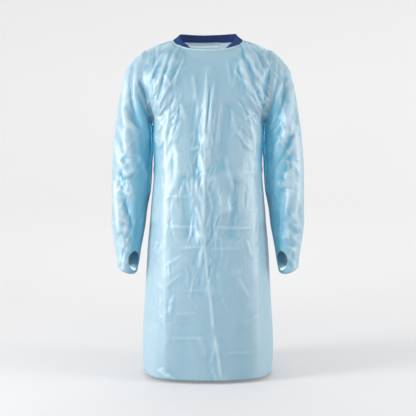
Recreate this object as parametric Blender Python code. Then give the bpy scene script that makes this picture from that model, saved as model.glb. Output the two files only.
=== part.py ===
"""A disposable isolation gown in its worn, empty shape.

The front is one panel from hem to neckline. Two back panels meet it at the shoulder and side seams,
and the right one laps over the left. Long sleeves end in cuffs with a thumb hole. A navy band stands
round the neck, a closure tape lies inside the lapping panel, and waist ties are knotted at the back.

Metres, +Z up. The front faces -Y, and the wearer's right is -X. The origin lies midway between the
two side points of the neck, where the shoulders carry the gown.
"""

import math
from collections import namedtuple

import bmesh
import bpy
import numpy as np
from mathutils import Matrix, Vector

# Walls of the pieces
WALL = 0.0016
BAND_WALL = 0.0020
TIE_WALL = 0.0015
TAPE_WALL = 0.0010

# Clearances: across a seam, and under what lies on a panel
SEAM_GAP = 0.0004
LAY_GAP = 0.0005

# Neckline and shoulder
NECK_HALF_WIDTH = 0.117
NECK_FRONT_DEPTH = 0.075
NECK_FRONT_DROP = 0.048
NECK_BACK_DEPTH = 0.062
NECK_BACK_RISE = 0.008
NECK_FRONT_SQUARENESS = 2.0
NECK_BACK_SQUARENESS = 2.5
SHOULDER_BEND = 1.25

# Columns and rows of cloth
HALF_COLUMNS = 14
NECK_COLUMNS = 8
ARMHOLE_ROWS = 12
CHEST_ROWS = 3
SKIRT_ROWS = 14
SLEEVE_ROWS = 15
CUFF_ROWS = 5

# The back opening, in columns to the left of the centre
UNDER_EDGE = 2
OVER_EDGE = 6
LAP_LIFT = 0.0042
LAP_RAMP_COLUMNS = 3.0
LAP_FLAT_COLUMNS = 0.5

# Waist ties
TIE_HEIGHT = -0.430
TIE_WIDTH = 0.024
KNOT_COLUMN = 1.0
KNOT_WIDTH = 0.034
KNOT_HEIGHT = 0.030
KNOT_DEPTH = 0.015
KNOT_ROUNDING = 0.0045
TIE_SEAM_CLEAR = 0.02
TIE_END_LENGTH = 0.300
TIE_END_SPREAD = 0.050
TIE_END_STEPS = 8
TIE_END_APART = 0.0086
TIE_END_PINCH = 0.34
TIE_END_FLARE = 4.0

# Neckband and closure tape
BAND_WIDTH = 0.028
BAND_ROWS = 3
BAND_CURL = 0.003
BAND_TUCK_START = 146.0
BAND_TUCK_END = 164.0
BAND_TUCK_DROP = 0.005
TUCK_PACE = 2.5
TUCK_DOWN_LAG = 1.5
TAPE_WIDTH = 0.010
TAPE_DROP = 0.009
TAPE_START = -4.4
TAPE_END = 5.0
TAPE_STEPS = 12

# Thumb holes, on the ring at this angle from the outer side of the arm
HOLE_ANGLE = 138.0
HOLE_HEIGHT = -0.727
HOLE_HALF_WIDTH = 0.022
HOLE_HALF_HEIGHT = 0.031
HOLE_AXIS_ANGLE = 54.0
HOLE_CUT_LENGTH = 0.050
HOLE_SIDES = 24

Level = namedtuple("Level", "height half_width front back squareness")
BODY_LEVELS = (
    Level(-1.089, 0.2072, 0.185, 0.176, 2.7),
    Level(-1.047, 0.2130, 0.183, 0.174, 2.7),
    Level(-0.980, 0.2135, 0.180, 0.170, 2.7),
    Level(-0.863, 0.2085, 0.175, 0.160, 2.6),
    Level(-0.780, 0.2045, 0.170, 0.150, 2.6),
    Level(-0.697, 0.2000, 0.165, 0.140, 2.5),
    Level(-0.547, 0.1870, 0.156, 0.124, 2.5),
    Level(-0.430, 0.1785, 0.149, 0.108, 2.4),
    Level(-0.350, 0.1820, 0.142, 0.118, 2.3),
    Level(-0.277, 0.1830, 0.135, 0.125, 2.3),
)

# Rows from the underarm up. Each ends on the armhole at this angle, counted from the shoulder.
Chest = namedtuple("Chest", "angle height depth turn neck_rise")
FRONT_CHEST = (
    Chest(150.0, -0.238, 0.134, 78.0, 0.000),
    Chest(120.0, -0.199, 0.129, 64.0, 0.000),
    Chest(90.0, -0.160, 0.121, 56.0, 0.002),
    Chest(60.0, -0.122, 0.110, 52.0, 0.008),
    Chest(30.0, -0.085, 0.094, 50.0, 0.026),
)
BACK_CHEST = (
    Chest(150.0, -0.230, 0.129, 78.0, 0.000),
    Chest(120.0, -0.182, 0.129, 64.0, 0.000),
    Chest(90.0, -0.135, 0.123, 56.0, 0.002),
    Chest(60.0, -0.088, 0.110, 52.0, 0.006),
    Chest(30.0, -0.040, 0.088, 50.0, 0.016),
)
UNDERARM_SPAN = 0.300
NECK_RISE_WIDTH = 0.050

# Rings of a sleeve, from the armhole to the end of the cuff. The outer and inner points lie across
# the arm, bow pushes the front and back of a ring outwards, and drop lowers its front.
Ring = namedtuple("Ring", "along outer outer_z inner inner_z depth centre_y bow drop")
SLEEVE_RINGS = (
    Ring(0.000, 0.2100, -0.0360, 0.1830, -0.2770, 0.0850, 0.000, 0.012, 0.000),
    Ring(0.032, 0.2360, -0.0560, 0.1876, -0.2755, 0.0850, 0.000, 0.014, 0.000),
    Ring(0.082, 0.2640, -0.0980, 0.1866, -0.2870, 0.0840, 0.000, 0.010, 0.000),
    Ring(0.150, 0.2860, -0.1620, 0.1860, -0.3060, 0.0830, 0.000, 0.004, 0.000),
    Ring(0.219, 0.2985, -0.2300, 0.1853, -0.3360, 0.0815, -0.001, 0.000, 0.000),
    Ring(0.300, 0.3090, -0.3100, 0.1850, -0.3800, 0.0790, -0.003, 0.000, 0.000),
    Ring(0.390, 0.3160, -0.4000, 0.1868, -0.4400, 0.0760, -0.006, 0.000, 0.000),
    Ring(0.465, 0.3172, -0.4750, 0.1905, -0.4980, 0.0730, -0.012, 0.000, 0.000),
    Ring(0.540, 0.3160, -0.5500, 0.2010, -0.5570, 0.0690, -0.020, 0.000, 0.000),
    Ring(0.605, 0.3145, -0.6150, 0.2074, -0.6165, 0.0620, -0.030, 0.000, 0.000),
    Ring(0.646, 0.3080, -0.6560, 0.2140, -0.6560, 0.0545, -0.038, 0.000, 0.000),
    Ring(0.685, 0.3010, -0.6940, 0.2205, -0.6950, 0.0500, -0.045, 0.000, 0.000),
    Ring(0.707, 0.2970, -0.7150, 0.2250, -0.7270, 0.0490, -0.049, 0.000, 0.006),
    Ring(0.729, 0.2945, -0.7370, 0.2310, -0.7600, 0.0480, -0.053, 0.000, 0.016),
)
FIRST_RING = 0.032
WRIST = 0.646
CUFF_END = 0.729

# Folds on the body, each a soft ridge, or a trough where the height is negative, along a straight run
Fold = namedtuple("Fold", "x0 z0 x1 z1 width height")
FRONT_FOLDS = (
    Fold(0.004, -0.120, -0.002, -0.343, 0.020, 0.0090),
    Fold(-0.002, -0.343, -0.019, -0.642, 0.019, 0.0085),
    Fold(-0.019, -0.642, 0.006, -0.814, 0.019, 0.0070),
    Fold(0.006, -0.814, 0.025, -0.987, 0.019, 0.0065),
    Fold(0.025, -0.987, 0.044, -1.086, 0.020, 0.0075),
    Fold(-0.042, -0.240, -0.036, -0.450, 0.026, -0.0085),
    Fold(0.062, -0.240, 0.050, -0.420, 0.026, -0.0085),
    Fold(-0.113, -0.202, -0.135, -0.422, 0.020, 0.0085),
    Fold(-0.135, -0.422, -0.135, -1.086, 0.018, 0.0085),
    Fold(0.116, -0.215, 0.147, -0.422, 0.020, 0.0085),
    Fold(0.147, -0.422, 0.156, -1.086, 0.018, 0.0085),
    Fold(-0.140, -0.075, -0.170, -0.190, 0.018, 0.0080),
    Fold(-0.112, -0.090, -0.150, -0.240, 0.017, 0.0080),
    Fold(-0.165, -0.230, -0.150, -0.330, 0.020, 0.0065),
    Fold(0.140, -0.075, 0.172, -0.200, 0.018, 0.0080),
    Fold(0.108, -0.100, 0.150, -0.235, 0.017, 0.0080),
    Fold(0.165, -0.240, 0.152, -0.340, 0.020, 0.0065),
    Fold(-0.075, -0.470, -0.060, -0.640, 0.022, -0.0065),
    Fold(0.090, -0.480, 0.075, -0.640, 0.022, -0.0065),
    Fold(0.020, -0.470, 0.055, -0.560, 0.018, 0.0055),
    Fold(0.090, -0.760, 0.125, -0.860, 0.018, 0.0065),
    Fold(-0.120, -0.780, -0.075, -0.720, 0.016, 0.0065),
    Fold(-0.075, -0.920, -0.085, -1.086, 0.030, -0.0070),
    Fold(0.100, -0.940, 0.105, -1.086, 0.030, -0.0070),
    Fold(-0.183, -0.620, -0.190, -0.900, 0.024, -0.0060),
    Fold(0.185, -0.620, 0.192, -0.900, 0.024, -0.0060),
)
BACK_FOLDS = (
    Fold(-0.130, -0.080, -0.160, -0.215, 0.018, 0.0055),
    Fold(0.132, -0.085, 0.162, -0.220, 0.018, 0.0055),
    Fold(-0.085, -0.120, -0.105, -0.300, 0.024, 0.0055),
    Fold(-0.050, -0.200, -0.045, -0.390, 0.024, -0.0060),
    Fold(-0.095, -0.330, -0.075, -0.405, 0.018, 0.0060),
    Fold(-0.040, -0.455, -0.075, -0.620, 0.022, 0.0070),
    Fold(-0.110, -0.455, -0.135, -0.640, 0.022, 0.0065),
    Fold(-0.080, -0.460, -0.105, -0.600, 0.016, -0.0055),
    Fold(-0.120, -0.640, -0.135, -1.086, 0.020, 0.0060),
    Fold(-0.070, -0.620, -0.065, -1.086, 0.030, -0.0065),
    Fold(-0.010, -0.500, -0.020, -1.086, 0.024, 0.0050),
    Fold(-0.175, -0.600, -0.182, -1.000, 0.022, -0.0050),
    Fold(0.150, -0.455, 0.165, -0.640, 0.018, 0.0060),
    Fold(0.165, -0.640, 0.168, -1.086, 0.020, 0.0055),
)

# Folds on a sleeve: angles round the arm from its outer side by the front, and lengths down the arm
Drag = namedtuple("Drag", "angle0 along0 angle1 along1 width height")
SLEEVE_FOLDS = {
    "right": (
        Drag(20.0, 0.060, 75.0, 0.240, 0.017, 0.0060),
        Drag(50.0, 0.050, 110.0, 0.200, 0.016, -0.0060),
        Drag(60.0, 0.210, 100.0, 0.400, 0.018, 0.0060),
        Drag(95.0, 0.230, 135.0, 0.360, 0.016, 0.0055),
        Drag(30.0, 0.330, 78.0, 0.420, 0.016, 0.0050),
        Drag(60.0, 0.440, 105.0, 0.600, 0.016, -0.0055),
        Drag(40.0, 0.470, 60.0, 0.610, 0.014, 0.0050),
        Drag(235.0, 0.120, 285.0, 0.260, 0.018, 0.0060),
        Drag(300.0, 0.300, 250.0, 0.440, 0.018, 0.0060),
        Drag(280.0, 0.430, 300.0, 0.600, 0.016, -0.0055),
        Drag(330.0, 0.380, 340.0, 0.560, 0.016, 0.0045),
    ),
    "left": (
        Drag(30.0, 0.070, 85.0, 0.230, 0.016, 0.0065),
        Drag(62.0, 0.060, 115.0, 0.190, 0.016, -0.0060),
        Drag(48.0, 0.130, 70.0, 0.300, 0.015, 0.0065),
        Drag(72.0, 0.300, 100.0, 0.430, 0.018, -0.0060),
        Drag(40.0, 0.320, 50.0, 0.520, 0.018, 0.0055),
        Drag(85.0, 0.430, 65.0, 0.600, 0.016, 0.0050),
        Drag(105.0, 0.480, 115.0, 0.620, 0.015, -0.0045),
        Drag(240.0, 0.130, 290.0, 0.250, 0.018, 0.0060),
        Drag(290.0, 0.320, 245.0, 0.450, 0.018, 0.0055),
        Drag(285.0, 0.450, 305.0, 0.610, 0.016, -0.0055),
        Drag(335.0, 0.330, 325.0, 0.520, 0.016, 0.0045),
    ),
}

# How far the neckband leans in from upright, by the angle round the neck from the centre back
Lean = namedtuple("Lean", "round_neck lean")
BAND_LEANS = (
    Lean(0.0, 12.0),
    Lean(45.0, 16.0),
    Lean(72.0, 42.0),
    Lean(92.0, 74.0),
    Lean(148.0, 80.0),
    Lean(164.0, 100.0),
    Lean(180.0, 110.0),
)

Finish = namedtuple("Finish", "colour roughness")
FINISHES = {
    "cloth": Finish((0.43, 0.66, 0.78), 0.55),
    "band": Finish((0.024, 0.054, 0.210), 0.85),
    "tape": Finish((0.74, 0.80, 0.82), 0.70),
    "tie": Finish((0.40, 0.63, 0.76), 0.60),
}

# How folds and fitted ends fade out, as powers of the way across a row and as lengths
END_BLEND_POWER = 4
CHEST_RISE_POWER = 6
SEAM_FADE_POWER = 8
SLEEVE_FADE = 0.080
SLEEVE_RADIUS = 0.065
BODY_SIDE_START = 0.4
BODY_SIDE_SPAN = 0.4

SHARP_ANGLE = 40.0
COLLAPSE = 1e-6
SHORTEST = 1e-9
MOST_MITRE = 1.6
DENSE = 240


def clear_scene():
    for old in list(bpy.data.objects):
        bpy.data.objects.remove(old, do_unlink=True)


def make_material(name, finish):
    material = bpy.data.materials.new(name)
    material.use_nodes = True
    shader = material.node_tree.nodes["Principled BSDF"]
    shader.inputs["Base Color"].default_value = (*finish.colour, 1.0)
    shader.inputs["Roughness"].default_value = finish.roughness
    shader.inputs["Metallic"].default_value = 0.0
    return material


def smooth_line(keys, values, at):
    """Values at other places on a smooth curve through the values at the keys."""
    keys = np.asarray(keys, float)
    values = np.asarray(values, float)
    at = np.asarray(at, float)
    slopes = np.gradient(values, keys, axis=0)
    i = np.clip(np.searchsorted(keys, at, side="right") - 1, 0, len(keys) - 2)
    span = keys[i + 1] - keys[i]
    t = (at - keys[i]) / span
    shape = (len(at),) + (1,) * (values.ndim - 1)
    t, span = t.reshape(shape), span.reshape(shape)
    start = (2 * t**3 - 3 * t**2 + 1) * values[i] + (t**3 - 2 * t**2 + t) * span * slopes[i]
    end = (3 * t**2 - 2 * t**3) * values[i + 1] + (t**3 - t**2) * span * slopes[i + 1]
    return start + end


def even_points(line, count):
    """Points at even distances along a line."""
    steps = np.linalg.norm(np.diff(line, axis=0), axis=1)
    along = np.concatenate([[0.0], np.cumsum(steps)])
    at = np.linspace(0.0, along[-1], count)
    return np.stack([np.interp(at, along, line[:, k]) for k in range(3)], axis=1)


def mirrored_row(half):
    """A full row from one half, which runs from the centre to the wearer's left."""
    other = half[:0:-1] * np.array([-1.0, 1.0, 1.0])
    return np.concatenate([other, half])


def power(value, squareness):
    return np.clip(value, 0.0, 1.0) ** (2.0 / squareness)


def unit(vectors):
    length = np.linalg.norm(vectors, axis=-1, keepdims=True)
    return vectors / np.maximum(length, SHORTEST)


def armhole_point(angle, facing):
    """A point of the left armhole. The angle runs from the shoulder down, and facing is -1 in front."""
    return ring_points(SLEEVE_RINGS[0], np.array([angle * -facing]))[0]


def ring_points(ring, angles):
    """Points round the left sleeve. Angle 0 is its outer side, and 90 its front."""
    turn = np.radians(angles)
    middle_x, middle_z = (ring.outer + ring.inner) / 2, (ring.outer_z + ring.inner_z) / 2
    half_x, half_z = (ring.outer - ring.inner) / 2, (ring.outer_z - ring.inner_z) / 2
    front = np.sin(turn)
    x = middle_x + half_x * np.cos(turn) + ring.bow * front**2
    y = ring.centre_y - ring.depth * front
    z = middle_z + half_z * np.cos(turn) - ring.drop * np.clip(front, 0.0, 1.0)
    return np.stack([x, y, z], axis=1)


def level_row(level, facing):
    """A level row of the body, from side seam to side seam."""
    turn = np.radians(np.linspace(0.0, 90.0, DENSE))
    depth = level.front if facing < 0 else level.back
    x = level.half_width * power(np.sin(turn), level.squareness)
    y = facing * depth * power(np.cos(turn), level.squareness)
    half = np.stack([x, y, np.full_like(x, level.height)], axis=1)
    return mirrored_row(even_points(half, HALF_COLUMNS + 1))


def chest_row(row, facing):
    """A row between the two armholes."""
    end = armhole_point(row.angle, facing)
    turn = np.radians(np.linspace(0.0, row.turn, DENSE))
    most = turn[-1]
    x = end[0] * np.sin(turn) / math.sin(most)
    bulge = (np.cos(turn) - math.cos(most)) / (1.0 - math.cos(most))
    y = end[1] + facing * (row.depth - abs(end[1])) * bulge
    rise = row.neck_rise * np.exp(-(((x - NECK_HALF_WIDTH) / NECK_RISE_WIDTH) ** 2))
    fade = 1.0 - (x / end[0]) ** CHEST_RISE_POWER
    z = row.height + (end[2] - row.height) * (x / end[0]) ** 2 + rise * fade
    half = np.stack([x, y, z], axis=1)
    return mirrored_row(even_points(half, HALF_COLUMNS + 1))


def top_row(facing):
    """The top edge of a panel: the neckline, with a shoulder seam at each end."""
    turn = np.radians(np.linspace(0.0, 90.0, DENSE))
    squareness = NECK_FRONT_SQUARENESS if facing < 0 else NECK_BACK_SQUARENESS
    depth = NECK_FRONT_DEPTH if facing < 0 else NECK_BACK_DEPTH
    rise = -NECK_FRONT_DROP if facing < 0 else NECK_BACK_RISE
    x = NECK_HALF_WIDTH * power(np.sin(turn), squareness)
    reach = power(np.cos(turn), squareness)
    curve = np.stack([x, facing * depth * reach, rise * reach], axis=1)
    neckline = even_points(curve, NECK_COLUMNS + 1)
    tip = armhole_point(0.0, facing)
    t = np.linspace(0.0, 1.0, DENSE)
    x = NECK_HALF_WIDTH + (tip[0] - NECK_HALF_WIDTH) * t
    seam = np.stack([x, np.zeros_like(x), tip[2] * t**SHOULDER_BEND], axis=1)
    shoulder = even_points(seam, HALF_COLUMNS - NECK_COLUMNS + 1)
    return mirrored_row(np.concatenate([neckline, shoulder[1:]]))


def row_places():
    """The rows of the body, from the hem up, as places along the side seam and then the armhole."""
    hem, underarm = BODY_LEVELS[0].height, BODY_LEVELS[-1].height
    tie_low, tie_high = TIE_HEIGHT - TIE_WIDTH / 2, TIE_HEIGHT + TIE_WIDTH / 2
    skirt = np.linspace(hem, tie_low, SKIRT_ROWS + 1)
    chest = np.linspace(tie_high, underarm, CHEST_ROWS + 1)
    upper = underarm + UNDERARM_SPAN * np.linspace(0.0, 1.0, ARMHOLE_ROWS + 1)[1:]
    return np.concatenate([skirt, chest, upper])


TIE_ROW = SKIRT_ROWS
UNDERARM_ROW = SKIRT_ROWS + 1 + CHEST_ROWS
TOP_ROW = UNDERARM_ROW + ARMHOLE_ROWS


def armhole_angle(row):
    """The angle on the armhole of a row above the underarm, which an end of the row meets."""
    return 180.0 * (TOP_ROW - row) / ARMHOLE_ROWS


def body_surface(facing):
    """The middle of the front's or back's cloth, without folds: rows from the hem up, columns to +X."""
    table = FRONT_CHEST if facing < 0 else BACK_CHEST
    underarm = BODY_LEVELS[-1].height
    keys = [level.height for level in BODY_LEVELS]
    rows = [level_row(level, facing) for level in BODY_LEVELS]
    for chest in table:
        keys.append(underarm + UNDERARM_SPAN * (180.0 - chest.angle) / 180.0)
        rows.append(chest_row(chest, facing))
    keys.append(underarm + UNDERARM_SPAN)
    rows.append(top_row(facing))
    surface = smooth_line(keys, np.array(rows), row_places())
    across = np.linspace(-1.0, 1.0, 2 * HALF_COLUMNS + 1)
    side = np.stack([np.sign(across), np.ones_like(across), np.ones_like(across)], axis=1)
    for row in range(TOP_ROW + 1):
        end = surface[row, -1] * np.array([1.0, 0.0, 1.0])
        if row >= UNDERARM_ROW:
            end = armhole_point(armhole_angle(row), facing)
        surface[row] += (across**END_BLEND_POWER)[:, None] * (end - surface[row, -1]) * side
    return surface


def grid_normals(surface, outward, ring=False):
    """Unit normals of a grid of points. A ring's columns close on themselves."""
    if ring:
        round_it = np.roll(surface, -1, axis=1) - np.roll(surface, 1, axis=1)
    else:
        round_it = np.gradient(surface, axis=1)
    return unit(outward * np.cross(round_it, np.gradient(surface, axis=0)))


def run_height(u, v, u0, v0, u1, v1, width, height):
    """The height at (u, v) of one soft ridge along a straight run."""
    du, dv = u1 - u0, v1 - v0
    t = np.clip(((u - u0) * du + (v - v0) * dv) / (du**2 + dv**2), 0.0, 1.0)
    away = np.hypot(u - u0 - t * du, v - v0 - t * dv)
    return height * np.exp(-((away / width) ** 2))


def body_folds(surface, folds):
    """The height of the folds at every point of a body panel, fading out at its seams."""
    total = np.zeros(surface.shape[:2])
    for fold in folds:
        total += run_height(surface[..., 0], surface[..., 2], *fold)
    columns = np.abs(np.linspace(-1.0, 1.0, surface.shape[1]))
    rows = np.arange(surface.shape[0])
    sides = 1.0 - columns**SEAM_FADE_POWER
    top = np.clip((TOP_ROW - rows) / 2.0, 0.0, 1.0)
    return total * sides[None, :] * top[:, None]


def sleeve_surface(side):
    """The middle of a sleeve's cloth with its folds, and its normals: rows from the armhole down."""
    keys = [ring.along for ring in SLEEVE_RINGS]
    down = np.linspace(FIRST_RING, WRIST, SLEEVE_ROWS + 1)
    places = np.concatenate([[0.0], down, np.linspace(WRIST, CUFF_END, CUFF_ROWS + 1)[1:]])
    angles = 180.0 * np.arange(2 * ARMHOLE_ROWS) / ARMHOLE_ROWS
    rings = np.array([ring_points(ring, angles) for ring in SLEEVE_RINGS])
    surface = smooth_line(keys, rings, places)
    surface[0] = rings[0]
    normals = grid_normals(surface, 1.0, ring=True)
    girth = math.radians(SLEEVE_RADIUS)
    around, along = np.meshgrid(angles * girth, places)
    total = np.zeros(along.shape)
    for fold in SLEEVE_FOLDS[side]:
        for turn in (-360.0, 0.0, 360.0):
            total += run_height(
                around, along, (fold.angle0 + turn) * girth, fold.along0,
                (fold.angle1 + turn) * girth, fold.along1, fold.width, fold.height,
            )
    fade = np.clip(np.minimum(along, CUFF_END - along) / SLEEVE_FADE, 0.0, 1.0)
    body_side = (-np.cos(np.radians(angles)) - BODY_SIDE_START) / BODY_SIDE_SPAN
    towards_body = np.clip(body_side, 0.0, 1.0)
    surface = surface + normals * (total * fade * (1.0 - towards_body[None, :]))[..., None]
    normals = grid_normals(surface, 1.0, ring=True)
    if side == "right":
        flip = np.array([-1.0, 1.0, 1.0])
        return surface * flip, normals * flip
    return surface, normals


def mitre(*normals):
    """The shared normal of pieces that meet at a seam, lengthened so that their walls keep their size."""
    shared = unit(sum(normals))
    reach = min(float(np.dot(shared, normal)) for normal in normals)
    return shared / max(reach, 1.0 / MOST_MITRE)


def share_normals(front, back, sleeves):
    """Gives the normals of the panels and sleeves one shared value wherever they meet."""
    for row in range(UNDERARM_ROW):
        for column in (0, -1):
            front[row, column] = back[row, column] = mitre(front[row, column], back[row, column])
    for column in range(HALF_COLUMNS + 1 - NECK_COLUMNS, 0, -1):
        for at in (column - 1, -column):
            if at in (0, -1):
                continue
            front[-1, at] = back[-1, at] = mitre(front[-1, at], back[-1, at])
    for column, sleeve in ((0, sleeves["right"]), (-1, sleeves["left"])):
        ring = sleeve[0]
        for step in range(ARMHOLE_ROWS + 1):
            row = TOP_ROW - step
            if step in (0, ARMHOLE_ROWS):
                shared = mitre(front[row, column], back[row, column], ring[step])
                front[row, column] = back[row, column] = ring[step] = shared
                continue
            front[row, column] = ring[step] = mitre(front[row, column], ring[step])
            back[row, column] = ring[-step] = mitre(back[row, column], ring[-step])


def pull_in(points, top=False, bottom=False, first=False, last=False):
    """Moves the chosen edges of a grid into it by half of a seam's gap."""
    moved = points.copy()
    half = SEAM_GAP / 2
    if top:
        moved[-1] += half * unit(points[-2] - points[-1])
    if bottom:
        moved[0] += half * unit(points[1] - points[0])
    if first:
        moved[:, 0] += half * unit(points[:, 1] - points[:, 0])
    if last:
        moved[:, -1] += half * unit(points[:, -2] - points[:, -1])
    return moved


def add_object(name, bm, material):
    bmesh.ops.recalc_face_normals(bm, faces=bm.faces)
    bmesh.ops.triangulate(bm, faces=bm.faces, quad_method="SHORT_EDGE")
    mesh = bpy.data.meshes.new(name)
    bm.to_mesh(mesh)
    bm.free()
    mesh.materials.append(material)
    mesh.shade_smooth()
    mesh.set_sharp_from_angle(angle=math.radians(SHARP_ANGLE))
    piece = bpy.data.objects.new(name, mesh)
    bpy.context.collection.objects.link(piece)
    return piece


def cloth_piece(name, outer, inner, material, ring=False):
    """A wall between two grids of points. A ring's last column is its first one again."""
    if ring:
        outer = np.concatenate([outer, outer[:, :1]], axis=1)
        inner = np.concatenate([inner, inner[:, :1]], axis=1)
    rows, columns = outer.shape[0] - 1, outer.shape[1] - 1
    bm = bmesh.new()
    bmesh.ops.create_grid(bm, x_segments=columns, y_segments=rows, size=0.5)
    place = bm.verts.layers.int.new("place")
    outside, inside = outer.reshape(-1, 3), inner.reshape(-1, 3)
    for vert in bm.verts:
        column = round((vert.co.x + 0.5) * columns)
        row = round((vert.co.y + 0.5) * rows)
        vert[place] = row * (columns + 1) + column
        vert.co = outside[vert[place]]
    if ring:
        bmesh.ops.remove_doubles(bm, verts=bm.verts, dist=COLLAPSE)
    made = bmesh.ops.extrude_face_region(bm, geom=list(bm.faces), use_keep_orig=True)
    for vert in made["geom"]:
        if isinstance(vert, bmesh.types.BMVert):
            vert.co = inside[vert[place]]
    return add_object(name, bm, material)


def wall_points(middle, normals, wall):
    """The outer and inner points of a wall round a middle surface."""
    return middle + normals * (wall / 2), middle - normals * (wall / 2)


def panel(name, middle, normals, material, **edges):
    outer, inner = wall_points(middle, normals, WALL)
    return cloth_piece(name, pull_in(outer, **edges), pull_in(inner, **edges), material)


def add_body(front, front_normals, under, over, back_normals, material):
    """The front and the two back panels. Seams run down the sides, over the shoulders and round the arms."""
    panel("front", front, front_normals, material, top=True, first=True, last=True)
    over_part = slice(0, HALF_COLUMNS + OVER_EDGE + 1)
    under_part = slice(HALF_COLUMNS + UNDER_EDGE, None)
    panel("back_over", over[:, over_part], back_normals[:, over_part], material, top=True, first=True)
    panel("back_under", under[:, under_part], back_normals[:, under_part], material, top=True, last=True)


def lapped(back, back_normals):
    """The right back panel's middle, which rises over the left one before its free edge."""
    columns = np.arange(2 * HALF_COLUMNS + 1) - HALF_COLUMNS
    t = np.clip((columns - UNDER_EDGE + LAP_RAMP_COLUMNS) / (LAP_RAMP_COLUMNS - LAP_FLAT_COLUMNS), 0.0, 1.0)
    lift = LAP_LIFT * t**2 * (3.0 - 2.0 * t)
    return back + unit(back_normals) * lift[None, :, None]


def on_grid(points, row, column):
    """A point between the points of a grid, by its row and column with their fractions."""
    r = int(np.clip(math.floor(row), 0, points.shape[0] - 2))
    c = int(np.clip(math.floor(column), 0, points.shape[1] - 2))
    s, t = row - r, column - c
    low = points[r, c] * (1 - t) + points[r, c + 1] * t
    high = points[r + 1, c] * (1 - t) + points[r + 1, c + 1] * t
    return low * (1 - s) + high * s


def laid(points, normals, places, offset):
    """Points off a panel's middle, for each (row, column) of a grid of places."""
    return np.array([
        [on_grid(points, *at) + offset * unit(on_grid(normals, *at)) for at in line] for line in places
    ])


def strip(name, middle, wall, outward, material):
    """A flat strip round a grid of middle points."""
    normals = unit(outward * np.cross(np.gradient(middle, axis=1), np.gradient(middle, axis=0)))
    outer, inner = wall_points(middle, normals, wall)
    return cloth_piece(name, outer, inner, material)


def tie_offset():
    return WALL / 2 + LAY_GAP + TIE_WALL / 2


def knot_frame(over, back_normals):
    """The knot's middle and the direction that it faces."""
    row, column = TIE_ROW + 0.5, HALF_COLUMNS + KNOT_COLUMN
    facing = unit(on_grid(back_normals, row, column))
    return on_grid(over, row, column) + facing * (WALL / 2 + LAY_GAP + KNOT_DEPTH / 2), facing


def add_ties(back, over, back_normals, material):
    """Two ties from the side seams to a knot on the lapping panel, and their free ends."""
    middle, facing = knot_frame(over, back_normals)
    spacing = np.linalg.norm(over[TIE_ROW, HALF_COLUMNS + 1] - over[TIE_ROW, HALF_COLUMNS])
    reach = (KNOT_WIDTH / 2 + SEAM_GAP) / spacing
    knot = HALF_COLUMNS + KNOT_COLUMN
    rows = (TIE_ROW, TIE_ROW + 1)
    near = [TIE_SEAM_CLEAR] + list(range(1, int(knot - reach) + 1)) + [knot - reach]
    places = [[(row, column) for column in near] for row in rows]
    strip("tie_right", laid(over, back_normals, places, tie_offset()), TIE_WALL, -1.0, material)

    last = 2 * HALF_COLUMNS
    far = [knot + reach] + list(range(int(knot + reach) + 1, last)) + [last - TIE_SEAM_CLEAR]
    edge = HALF_COLUMNS + OVER_EDGE
    stepped = []
    for row in rows:
        line = []
        for column in far:
            t = np.clip(edge + 1.0 - column, 0.0, 1.0)
            base = on_grid(over, row, column) * t + on_grid(back, row, column) * (1 - t)
            line.append(base + tie_offset() * unit(on_grid(back_normals, row, column)))
        stepped.append(line)
    strip("tie_left", np.array(stepped), TIE_WALL, -1.0, material)

    bm = bmesh.new()
    bmesh.ops.create_cube(bm, size=1.0)
    bmesh.ops.scale(bm, verts=bm.verts, vec=(KNOT_WIDTH, KNOT_DEPTH, KNOT_HEIGHT))
    bmesh.ops.bevel(bm, geom=list(bm.edges), offset=KNOT_ROUNDING, segments=2, profile=0.5,
                    affect="EDGES", material=-1)
    turn = Vector((0.0, 1.0, 0.0)).rotation_difference(Vector(facing)).to_matrix().to_4x4()
    bmesh.ops.transform(bm, verts=bm.verts, matrix=Matrix.Translation(Vector(middle)) @ turn)
    add_object("tie_knot", bm, material)

    row_length = (TIE_HEIGHT - TIE_WIDTH / 2 - BODY_LEVELS[0].height) / SKIRT_ROWS
    start = TIE_ROW + (TIE_WIDTH - KNOT_HEIGHT) / 2 / row_length - SEAM_GAP / row_length
    end = start - TIE_END_LENGTH / row_length
    for name, way in (("tie_end_right", -1.0), ("tie_end_left", 1.0)):
        places = []
        for row in np.linspace(end, start, TIE_END_STEPS + 1):
            t = (start - row) / (start - end)
            centre = knot + way * (TIE_END_APART + TIE_END_SPREAD * t) / spacing
            share = TIE_END_PINCH + (1.0 - TIE_END_PINCH) * min(1.0, TIE_END_FLARE * t)
            half = TIE_WIDTH / 2 * share / spacing
            places.append([(row, centre - half), (row, centre), (row, centre + half)])
        offset = tie_offset() + LAY_GAP
        strip(name, laid(over, back_normals, places, offset), TIE_WALL, -1.0, material)


def neckline_path(front, front_normals, back, over, back_normals):
    """Points of the neckline from the lapping panel's edge round to the other, with their normals."""
    centre = HALF_COLUMNS
    first, last = centre - NECK_COLUMNS, centre + NECK_COLUMNS
    points, normals = [], []
    for column in range(centre + OVER_EDGE, first, -1):
        points.append(over[-1, column])
        normals.append(back_normals[-1, column])
    for column in range(first, last + 1):
        points.append(front[-1, column])
        normals.append(front_normals[-1, column])
    for column in range(last - 1, centre + UNDER_EDGE - 1, -1):
        points.append(back[-1, column])
        normals.append(back_normals[-1, column])
    return np.array(points), unit(np.array(normals))


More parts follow.
